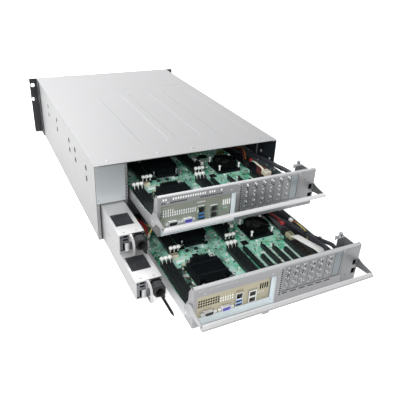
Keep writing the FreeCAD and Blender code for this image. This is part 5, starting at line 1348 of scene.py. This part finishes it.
def handle_kit(tag):
    """Pull handle: a flat-faced bar with eased edges between two arched arms, a pull tab under it, riveted pivots. The
    upper handle and the top of every bar are painted lighter as painted light, and the lower bar's eased top edge
    carries a painted highlight.
    """
    # painted light: the upper tray's handle takes the lighter copy of the sheet
    skin = "handle_up" if tag == "upper" else "handle"
    k = Kit(skin)
    xl, xr, gap, arm = 145.6, -210.4, 0.8, 2.0
    arch = [
        (-8.2, 0.4), (-8.0, -2.8), (-6.6, -5.8), (-4.5, -7.9), (-2, -9), (1, -9.2), (4, -8.6), (9, -6), (15, -0.2), (21, 6.6), (26, 8.2), (33, 9), (45, 9.7), (53, 12.2),
        (58.6, 12.6), (58.6, 18.2), (53, 19.9), (51, 20), (41, 21.4), (33, 22.6), (26, 24.2), (23.4, 25.8), (21.3, 26.8), (18.2, 27.0), (15, 26.6), (12, 26.0), (9, 24.9), (5.4, 22.4), (2, 19), (-2.2, 14.4), (-6, 10), (-7.8, 6),
    ]
    outline = [(a - 21.0, b + 22.0) for a, b in arch]
    k.plate("yz", outline, [], xl + gap, xl + gap + arm, "arm")
    # painted shade: the right arm takes the darker cover sheet, standing for the shade on its inner face
    k.plate("yz", outline, [], xr - gap - arm, xr - gap, "cover")
    y, z = (36.3, 39.3) if tag == "upper" else (38.2, 36.6)
    a, b, c = 4.3, 2.8, 0.7
    bar = [(y - a + c, z - b), (y + a - c, z - b), (y + a - 0.2, z - b + 0.2), (y + a, z - b + c), (y + a, z + b - 1.3), (y + a - 0.4, z + b - 0.4), (y + a - 1.3, z + b),
           (y - a + 3.6, z + b), (y - a + c, z + b), (y - a + 0.2, z + b - 0.2), (y - a, z + b - c), (y - a, z - b + c), (y - a + 0.2, z - b + 0.2)]
    drop = 3.4 if tag == "upper" else 3.0
    count = len(bar)
    ends = [(xr - gap - arm, v, w) for v, w in bar] + [(xl + gap + arm, v, w - drop) for v, w in bar]
    sides = [(i, (i + 1) % count, count + (i + 1) % count, count + i) for i in range(count)]
    first = len(k.f)
    k.add(ends, sides + [list(range(count)), list(range(count, 2 * count))], skin)
    # painted light: the bar's top beside the panel and its eased edge take the lighter copy
    for i in (7, 8):
        k.m[first + i] = k.slot("handle_up")
    # painted highlight: on the lower bar, the eased top edge away from the panel and the top beside it take a mid copy
    if tag == "lower":
        for i in (4, 5, 6):
            k.m[first + i] = k.slot("bar_mid")
    tab, foot = ((28.0, 40.0), 10.5) if tag == "upper" else ((19.5, 32.5), 12.0)
    k.box(tab[0], tab[1], y - 1.5, y + 1.5, z - foot, z - b - 0.2, skin, 0.6)
    k.box(tab[0] + 2, tab[1] - 2, y - 1.2, y + 1.2, z - foot + 4.0, z - b + 0.4, skin, 0.2)
    # pivot stubs and rivet heads
    for x, s in ((148.4, 1), (-213.2, -1)):
        k.lathe("x", (x, -21.0, 22.0), [(4.6, 0), (4.6, s * 0.35), (3.6, s * 0.9), (0, s * 1.1)], "steel", 24)
    k.rod("x", (xl - 2.2, -21.0, 22.0), 3.0, 4.0, "steel", 24, 0.3)
    k.rod("x", (xr - 1.8, -21.0, 22.0), 3.0, 4.0, "steel", 24, 0.3)
    return k


KITS = {
    "rear_panel": (tray_panel_kit, True, ["tray_panel"], "grey_panel"),
    "vent_covers": (slot_cover_kit, True, ["slot_covers"], "grey_panel"),
    "io_shield": (shield_kit, True, ["port_shield"], "shield_steel"),
    "main_board": (board_kit, False, ["motherboard"], "green_board"),
    "sockets": (socket_kit, False, ["board_sockets"], "black_plastic"),
    "ports": (port_kit, True, [], "black_plastic"),
    "coolers": (heatsink_kit, False, ["heatsinks"], "black_aluminium"),
    "loom": (loom_kit, True, ["cable_harness"], "cable_jacket"),
    "bracket_fixings": (bracket_detail_kit, False, [], "screw_steel"),
}
for key, (build, own, nodes, slot_name) in KITS.items():
    shared = None if own else build().mesh("tray_" + key)
    for tag, (yp, zb) in TRAYS.items():
        data = build(tag).mesh("%s_tray_%s" % (tag, key)) if own else shared
        piece("%s_%s" % (tag, key), None, tag + "_tray", (0, yp, zb), [tag + "_" + n for n in nodes], 0.0, 1, data)
piece("lower_side_leads", side_lead_kit(), "lower_tray", (0, TRAYS["lower"][0], TRAYS["lower"][1]))
plunger_mesh = plunger_kit().mesh("latch_knob")
for tag, (yp, zb) in TRAYS.items():
    piece(tag + "_latch_knob", None, tag + "_plunger", (0, yp, zb), [tag + "_latch_plunger"], mesh=plunger_mesh)
    piece(tag + "_pull_handle", handle_kit(tag), tag + "_handle", (0, yp, zb), [tag + "_tray_handle"])


# =============================================================== power supplies
def supply_case_kit():
    k = Kit("supply")
    x0, x1, L, Hh, s = 158.8, 209.3, 320.0, 40.0, 1.0
    # top with its window, floor, sides, front and rear
    top_holes = [rounded(166.5, 205.0, -78.0, -31.5, 0.8, 3), rounded(194.4, 199.4, -8.6, -6.8, 0.8, 3), rounded(169.6, 174.6, -8.6, -6.8, 0.8, 3)]
    k.plate("xy", rounded(x0, x1, -L, 0, 0), top_holes, Hh - s, Hh, "supply")
    k.plate("xy", rounded(x0, x1, -L, 0, 0), [], 0, s, "supply")
    side_holes = [circle(-11.5, 35.0, 1.5, 14), circle(-11.5, 28.6, 1.5, 14)]
    # painted shade: the side plates take the darker copy of the case sheet
    k.plate("yz", [(-L, s), (0, s), (0, Hh - s), (-L, Hh - s)], side_holes, x0, x0 + s, "supply_side")
    k.plate("yz", [(-L, s), (0, s), (0, Hh - s), (-L, Hh - s)], side_holes, x1 - s, x1, "supply_side")
    k.box(x0 + s, x1 - s, -L, -L + s, s, Hh - s, "supply")
    vents = [
        rounded(161.5, 181.5, 8.0, 36.0, 0.5, 2), rounded(188.9, 196.6, 8.4, 16.6, 0.6, 2),
        rounded(191.8, 201.2, 32.2, 36.4, 0.7, 2), rounded(191.8, 201.2, 25.0, 29.0, 0.7, 2), rounded(198.6, 202.0, 3.0, 20.0, 0.7, 2),
        circle(205.2, 33.6, 1.7, 16), rounded(202.6, 206.4, 2.8, 5.4, 0.6, 2),
    ]
    k.plate("xz", [(x0 + s, s), (x1 - s, s), (x1 - s, Hh - s), (x0 + s, Hh - s)], vents, -s, 0, "supply_face")
    # painted shade: near-black boxes behind the rear-face vents make them read dark
    k.box(190.6, 207.4, -2.6, -1.6, 23.6, 37.8, "void")
    k.box(197.4, 207.4, -2.6, -1.6, 1.6, 21.0, "void")
    for a, b in ((194.0, 199.8), (169.2, 175.0)):
        k.box(a, b, -9.0, -6.4, Hh - 2.4, Hh - 1.6, "supply_face")
    # a turned-out lip round the left part of the rear face
    k.plate("xz", [(188.4, 0.4), (x1 - 0.2, 0.4), (x1 - 0.2, Hh - 0.4), (188.4, Hh - 0.4)], [rounded(189.2, x1 - 1.6, 1.9, Hh - 1.9, 2.0, 4)], 0, 0.7, "supply")
    # gauze over the window, and the window's turned-in edge
    k.plate("xy", rounded(166.5, 205.0, -78.0, -31.5, 0.8, 3), [rounded(167.3, 204.2, -77.2, -32.3, 0.6, 3)], Hh - 4.0, Hh - s, "supply")
    for i in range(18):
        x = 167.6 + 2.12 * i
        k.box(x, x + 1.15, -77.8, -31.7, Hh - 1.1, Hh - 0.5, "gauze")
    for i in range(22):
        y = -77.0 + 2.12 * i
        k.box(166.7, 204.8, y, y + 1.15, Hh - 1.5, Hh - 0.9, "gauze")
    # flush rivets along the top
    for x in (162.0, 206.2):
        for y in (-100.0, -200.0, -300.0):
            k.lathe("z", (x, y, Hh), [(1.6, 0), (1.2, 0.22), (0, 0.3)], "supply", 12)
    # bridge that carries the fan, and the dark works behind it
    k.box(x0 + s, x1 - s, -42, -40, 16, 24, "dark_grey", 0.3)
    k.plate("xz", rounded(160.4, 207.6, 1.2, 38.0, 3.0, 4), [circle(184.0, 20.0, 17.9, 40)], -76.0, -72.0, "black")
    for x, y, w, d, h, mat in ((163, -150, 16, 40, 30, "dark_grey"), (184, -160, 20, 50, 26, "tan"), (165, -230, 36, 50, 28, "matt_black"), (164, -112, 12, 22, 24, "black"), (182, -110, 22, 20, 30, "dark_grey")):
        k.box(x, x + w, y, y + d, s, s + h, mat, 0.8)
    # board-edge contacts at the front
    k.box(168.0, 200.0, -L - 0.0, -L + 8.0, 16.0, 18.0, "board")
    return k


def supply_handle_kit():
    """A bent metal strip: rounded above, square at its lower outer corner."""
    k = Kit("supply")
    outer = [(0, 39), (3, 38.95), (6, 38.6), (9, 37.9), (12, 36.8), (14.6, 35.3), (17, 33.4), (19, 31.1), (20.4, 28.6), (21.4, 25.4), (22, 22), (22.4, 17.6), (22.6, 13), (22.6, 4), (22.3, 2.6), (21.4, 1.6), (20.3, 1.0), (19, 0.8), (0, 0.8)]
    inner = [(0, 37), (2.9, 36.95), (5.7, 36.6), (8.5, 35.95), (11.2, 35), (13.6, 33.7), (15.6, 32), (17.3, 30.1), (18.6, 27.8), (19.5, 24.9), (20.1, 21.6), (20.45, 17.4), (20.6, 12.8), (20.6, 4.8), (20.5, 4.0), (20, 3.4), (19.4, 3.0), (18.6, 2.8), (0, 2.8)]
    v, f = [], []
    n = len(outer)
    for x in (184.4, 188.8):
        v += [(x, a, b) for a, b in outer] + [(x, a, b) for a, b in inner]
    for i in range(n - 1):
        f.append((i, i + 1, n + i + 1, n + i))
        f.append((2 * n + i, 2 * n + i + 1, 3 * n + i + 1, 3 * n + i))
        f.append((i, i + 1, 2 * n + i + 1, 2 * n + i))
        f.append((n + i, n + i + 1, 3 * n + i + 1, 3 * n + i))
    f += [(0, n, 3 * n, 2 * n), (n - 1, 2 * n - 1, 4 * n - 1, 3 * n - 1)]
    k.add(v, f, "supply")
    # two rivets through the strip's upper leg
    for y, z in ((4.0, 33.8), (4.0, 28.4)):
        k.lathe("x", (188.0, y, z), [(1.3, 0), (1.3, 0.5), (0.8, 0.8), (0, 0.8)], "dark_grey", 14)
    k.box(186.0, 188.2, 0.0, 7.2, 25.6, 37.0, "supply", 0.3)
    return k


def latch_kit():
    k = Kit("light_grey")
    k.box(191.0, 198.0, 0.9, 3.0, 4.0, 20.0, "light_grey", 0.5)
    pad = [(191.2, 3.0), (197.8, 3.0), (197.4, 5.4), (196.2, 6.7), (194.5, 7.0), (192.8, 6.7), (191.6, 5.4)]
    k.prism("xy", pad, 5.0, 19.0, "light_grey")
    for i in range(4):
        k.box(192.4, 196.6, 6.5, 7.0, 7.4 + 2.8 * i, 8.6 + 2.8 * i, "grey", 0.15)
    k.box(192.0, 196.2, -6.0, 0.9, 9.0, 16.0, "light_grey", 0.3)
    k.box(189.6, 198.4, -7.5, -6.0, 7.0, 18.0, "steel", 0.3)
    return k


def inlet_kit(strap):
    k = Kit("black")
    # flange with the chamfered three-pole opening, shell and pins
    k.plate("xz", rounded(160.0, 183.2, 5.5, 39.2, 2.0, 4), [rounded(164.0, 179.0, 11.5, 32.5, 1.5, 3)], 0, 2, "black")
    k.plate("xz", rounded(161.5, 181.5, 8.0, 36.0, 1.0, 3), [rounded(164.0, 179.0, 11.5, 32.5, 1.5, 3)], -14, 0, "black")
    k.box(161.5, 181.5, -18, -14, 8.0, 36.0, "black", 0.5)
    for x, z in ((168.0, 15.5), (174.0, 22.0), (168.0, 28.5)):
        k.box(x - 1.0, x + 1.0, -14.0, -6.0, z - 2.2, z + 2.2, "tin", 0.4)
    for x in (161.9, 181.3):
        screw_head(k, "y", (x, 2.0, 37.0), 1.4, 0.6)
    # toothed strap with a tapered tip
    tip = [(162.6, 2.0), (167.6, 2.0), (167.6, strap - 5.0), (166.0, strap + 2.0), (164.2, strap + 2.0), (162.6, strap - 5.0)]
    k.prism("xy", tip, 6.7, 7.9, "matt_black")
    y = 4.0
    while y < strap - 6.0:
        k.prism("yz", [(y, 7.9), (y + 1.7, 7.9), (y + 1.7, 8.3)], 163.4, 166.8, "matt_black")
        y += 2.0
    # clamp: an eight-sided split collar with ribbed cheeks and a release tongue, running on the strap
    cx, cz = 171.6, 24.4
    eight = [(-11.2, -5.6), (-6.4, -11), (6.4, -11), (11.2, -5.6), (11.2, 6.4), (6.4, 11.8), (-6.4, 11.8), (-11.2, 6.4)]
    ring = [(cx + u, cz + w) for u, w in eight]
    slim = [(cx + u * 0.95, cz + w * 0.95) for u, w in eight]
    bore = circle(cx, cz, 8.6, 36)
    k.plate("xz", slim, [bore], 4.5, 5.3, "matt_black")
    k.plate("xz", ring, [bore], 5.3, 23.4, "matt_black")
    k.plate("xz", slim, [bore], 23.4, 24.5, "matt_black")
    for i in range(8):
        k.ring("y", (cx, 6.0 + 2.2 * i, cz), 8.65, 8.1, 0.8, "matt_black", 32)
    k.box(161.6, 168.6, 6.0, 24.5, 8.3, 14.6, "matt_black", 0.7)
    for i in range(5):
        y = 7.0 + 3.4 * i
        k.box(cx - 6.0, cx + 6.0, y, y + 1.5, cz + 11.6, cz + 12.4, "dark_grey", 0.3)
        k.box(cx - 11.9, cx - 11.0, y, y + 1.5, cz - 4.6, cz + 5.4, "dark_grey", 0.3)
    k.box(cx + 5.6, cx + 11.4, 8.0, 22.0, cz + 6.6, cz + 10.6, "matt_black", 0.9)
    return k


def blower_kit():
    k = Kit("black")
    cx, cz, y = 184.0, 20.0, -62.6
    k.lathe("y", (cx, y, cz), [(0, 0), (7.2, 0), (8.0, 0.8), (8.0, 19.4), (7.4, 20.0), (0, 20.0)], "black", 28)
    for i in range(7):
        a0 = 2 * math.pi * i / 7
        v, f = [], []
        for r, lead in ((7.6, 0.0), (11.0, 0.14), (14.0, 0.24), (16.6, 0.3)):
            for angle, h in ((a0 + lead, 4.0), (a0 + lead + 0.62, 15.0), (a0 + lead + 0.66, 15.6), (a0 + lead + 0.04, 4.6)):
                v.append((cx + r * math.cos(angle), y + h, cz + r * math.sin(angle)))
        for j in range(3):
            for s in range(4):
                t = (s + 1) % 4
                f.append((j * 4 + s, j * 4 + t, j * 4 + 4 + t, j * 4 + 4 + s))
        f += [(0, 1, 2, 3), (12, 13, 14, 15)]
        k.add(v, f, "black")
    return k


case_mesh = supply_case_kit().mesh("supply_case_sheet")
grip_mesh = supply_handle_kit().mesh("supply_grip_strip")
latch_mesh = latch_kit().mesh("supply_latch_tab")
blower_mesh = blower_kit().mesh("supply_blower")
for tag, (yr, z0) in SUPPLIES.items():
    at = (0, yr, z0)
    piece(tag + "_supply_box", None, tag + "_supply", at, [tag + "_supply_case"], 0.2, 2, case_mesh)
    piece(tag + "_supply_grip", None, tag + "_supply", at, [tag + "_supply_handle"], 0.0, 1, grip_mesh)
    piece(tag + "_supply_plug", inlet_kit(70.0 if tag == "lower" else 30.0), tag + "_supply", at, [tag + "_supply_inlet"])
    piece(tag + "_latch_tab", None, tag + "_latch", at, [tag + "_supply_latch"], mesh=latch_mesh)
    piece(tag + "_blower_wheel", None, tag + "_blower", at, [tag + "_supply_fan"], mesh=blower_mesh)


# =============================================================== drive carriers
def carrier_kit():
    k = Kit("black_metal")
    w, h = 70.9, 40.8
    # bezel frame with a honeycomb grille, lever and lamps
    grille = []
    for i in range(16):
        for j in range(5):
            u = -40.0 + 5.4 * i + (2.7 if j % 2 else 0.0)
            if u < 46:
                grille.append(circle(u, 9.6 + 4.7 * j + 1.2, 2.2, 6, math.radians(30)))
    k.plate("xz", rounded(-w, w, 0, h, 2.0, 4), grille, -349.6, -347.6, "black_metal")
    k.plate("xz", rounded(-w, w, 0, h, 2.0, 4), [rounded(-w + 2.4, w - 2.4, 2.4, h - 2.4, 1.2, 3)], -352.0, -349.6, "black_metal")
    k.plate("xz", rounded(-w, w, 0, h, 2.0, 4), [rounded(-w + 3.0, w - 3.0, 3.0, h - 3.0, 1.0, 3)], -347.6, -342.0, "matt_black")
    # pull lever across the front, held by a button at the right
    k.box(-48.0, 50.0, -351.8, -349.8, 33.4, 37.0, "grey", 0.5)
    k.box(-48.0, -44.0, -351.8, -349.6, 5.0, 37.0, "grey", 0.5)
    k.lathe("y", (56.5, -349.6, 20.4), [(5.4, 0), (5.4, -1.2), (4.8, -1.8), (0, -1.6)], "grey", 28)
    k.box(50.0, 56.0, -351.6, -349.8, 33.4, 37.0, "grey", 0.5)
    for z, mat in ((9.0, "blue_lamp"), (12.6, "green_lamp")):
        k.rod("y", (63.8, -351.4, z), 1.1, 1.9, mat, 14)
    k.box(-66.0, -54.0, -350.4, -349.6, 7.0, 34.0, "black_metal", 0.3)
    for i in range(6):
        k.box(-65.0, -55.0, -350.7, -350.3, 9.0 + 4.2 * i, 10.6 + 4.2 * i, "matt_black", 0.1)
    # rails, floor, drive
    for side in (-1, 1):
        a, b = sorted((side * 58.0, side * 60.8))
        holes = [circle(y, 9.5, 1.7, 12) for y in (-300, -258, -200)]
        k.plate("yz", [(-342, 2), (-163, 2), (-163, 32), (-335, 32), (-342, 30)], holes, a, b, "zinc_inner")
    k.plate("xy", rounded(-58.0, 58.0, -342.0, -163.0, 0), [rounded(-30, 30, -320, -280, 4), rounded(-30, 30, -250, -210, 4)], 2.0, 3.6, "zinc_inner")
    d = 50.8
    k.box(-d, d, -340.0, -193.0, 3.6, 26.6, "steel", 0.8)
    k.plate("xy", rounded(-d, d, -340.0, -193.0, 5.0, 5), [], 26.6, 29.7, "tin")
    k.plate("xy", rounded(-d + 7, d - 7, -333.0, -215.0, 8.0, 5), [], 29.7, 29.9, "light_grey")
    for x in (-47, 47):
        for y in (-336, -266, -197):
            screw_head(k, "z", (x, y, 29.7), 1.8, 0.5)
    k.lathe("z", (0, -290.0, 29.9), [(16.0, 0), (16.0, 0.3), (15.2, 0.5), (0, 0.5)], "tin", 36)
    k.box(-40.0, 8.0, -194.0, -190.0, 5.0, 12.0, "black", 0.4)
    return k


carrier_mesh = carrier_kit().mesh("drive_tray")
for col in range(3):
    for row in range(4):
        number = row * 3 + col + 1
        at = (144.5 * (col - 1), 0, 1.4 + 42.5 * row + 0.8 + 0.45)
        piece("drive_tray_%d" % number, None, "carrier_%d" % number, at, ["drive_carrier_%d" % number], mesh=carrier_mesh)


# =============================================================== carried-over CAD nodes
def paint(node, key):
    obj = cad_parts[node]
    obj.data.materials.clear()
    obj.data.materials.append(M[key])


for node_name, key in {
    "bay_partition": "partition", "rear_blank_panel": "blank", "supply_cage": "zinc_side", "drive_cage": "zinc_inner",
    "drive_backplane": "board", "fan_wall": "zinc_inner", "fan_frames": "matt_black",
    "fan_rotor_1": "black", "fan_rotor_2": "black", "fan_rotor_3": "black",
    "upper_tray_pan": "pan", "lower_tray_pan": "pan", "upper_latch_bracket": "panel", "lower_latch_bracket": "panel",
}.items():
    paint(node_name, key)

# fixings on the rear of the chassis
rear_fix = Kit("steel")
for z in (95.0, 165.0):
    rear_fix.lathe("y", (155.5, D2, z), [(1.7, 0), (1.5, 0.3), (0, 0.6)], "steel", 14)
    rear_fix.lathe("y", (214.0, D2, z), [(1.7, 0), (1.5, 0.3), (0, 0.6)], "steel", 14)
for z in (8.0, 30.0, 58.0, 80.0):
    rear_fix.lathe("y", (215.2, D2, z), [(1.3, 0), (1.2, 0.25), (0, 0.45)], "steel", 12)
dots = [circle(153.0, 93.5 + 7.6 * i, 1.2, 12) for i in range(11)]
rear_fix.plate("xz", rounded(150.4, 155.6, 88.5, 172.5, 0.6, 2), dots, D2, D2 + 0.8, "zinc_side")
# painted shade: a near-black strip behind the perforations makes them read dark
rear_fix.box(151.2, 154.8, D2 + 0.02, D2 + 0.3, 91.0, 171.0, "void")
piece("rear_rivets", rear_fix, "chassis")


# =============================================================== stage, light, camera
def plain(name, color, rough):
    n = Nodes(name)
    soft = n.noise(n.coords(), 3.0, 2.0)
    base = n.mix(soft, shade(color, 0.995), shade(color, 1.0))
    return n.finish(base, rough, 0.0, Specular_IOR_Level=0.2, Emission_Color=(1, 1, 1, 1), Emission_Strength=0.45)


floor_data = bpy.data.meshes.new("floor")
size = 40.0
floor_data.from_pydata([(-size, -size, -0.0005), (size, -size, -0.0005), (size, size, -0.0005), (-size, size, -0.0005)], [], [(0, 1, 2, 3)])
floor_data.materials.append(plain("floor_paint", (0.955, 0.955, 0.955), 0.8))
floor = bpy.data.objects.new("floor", floor_data)
scene.collection.objects.link(floor)
floor.visible_diffuse = False

world = bpy.data.worlds.new("studio")
scene.world = world
world.use_nodes = True
wt = world.node_tree
wt.nodes.clear()
w_out = wt.nodes.new("ShaderNodeOutputWorld")
w_bg = wt.nodes.new("ShaderNodeBackground")
w_tex = wt.nodes.new("ShaderNodeTexCoord")
w_sep = wt.nodes.new("ShaderNodeSeparateXYZ")
wt.links.new(w_tex.outputs["Generated"], w_sep.inputs["Vector"])


def world_span(socket, low, high, start=-1.0, end=1.0):
    node = wt.nodes.new("ShaderNodeMapRange")
    node.inputs["From Min"].default_value = start
    node.inputs["From Max"].default_value = end
    node.inputs["To Min"].default_value = low
    node.inputs["To Max"].default_value = high
    wt.links.new(socket, node.inputs["Value"])
    return node.outputs["Result"]


w_mul = wt.nodes.new("ShaderNodeMath")
w_mul.operation = "MULTIPLY"
wt.links.new(world_span(w_sep.outputs["X"], 0.86, 1.42), w_mul.inputs[0])
wt.links.new(world_span(w_sep.outputs["Y"], 0.96, 0.96), w_mul.inputs[1])
w_low = wt.nodes.new("ShaderNodeMath")
w_low.operation = "MULTIPLY"
wt.links.new(w_mul.outputs[0], w_low.inputs[0])
wt.links.new(world_span(w_sep.outputs["Z"], 0.5, 1.0, -0.4, 0.1), w_low.inputs[1])
wt.links.new(w_low.outputs[0], w_bg.inputs["Strength"])
wt.links.new(w_bg.outputs[0], w_out.inputs[0])


def area(name, at, target, size_x, size_y, power, color=(1, 1, 1)):
    data = bpy.data.lights.new(name, "AREA")
    data.shape = "RECTANGLE"
    data.size, data.size_y = size_x, size_y
    data.energy = power
    data.color = color
    obj = bpy.data.objects.new(name, data)
    scene.collection.objects.link(obj)
    obj.location = at
    obj.rotation_euler = (Vector(target) - Vector(at)).to_track_quat("-Z", "Y").to_euler()
    return obj


area("key", (0.36, -0.66, 1.1), (0.1, -0.1, 0.15), 0.9, 0.9, 16.0)
area("back", (-0.8, -2.0, 1.6), (0, 0.3, 0.1), 2.0, 1.2, 12.0)
area("fill", (1.15, 1.6, 1.0), (0.05, 0.55, 0.1), 1.2, 0.9, 20.0)

camera_data = bpy.data.cameras.new("camera")
camera_data.sensor_fit = "HORIZONTAL"
camera_data.sensor_width = 36.0
camera_data.lens = 42.663
camera_data.clip_start = 0.01
camera_data.clip_end = 100.0
camera = bpy.data.objects.new("camera", camera_data)
scene.collection.objects.link(camera)
az, el, roll = math.radians(152.853), math.radians(28.948), math.radians(2.959)
back = Vector((math.sin(az) * math.cos(el), -math.cos(az) * math.cos(el), math.sin(el)))
right = (-back).cross(Vector((0, 0, 1))).normalized()
up = right.cross(-back)
r2 = right * math.cos(roll) + up * math.sin(roll)
u2 = up * math.cos(roll) - right * math.sin(roll)
eye = Vector((417.403, 1208.957, 584.819)) * MM
camera.matrix_world = Matrix((
    (r2.x, u2.x, back.x, eye.x), (r2.y, u2.y, back.y, eye.y), (r2.z, u2.z, back.z, eye.z), (0, 0, 0, 1),
))
scene.camera = camera
scene.view_settings.view_transform = "Standard"
scene.view_settings.look = "None"
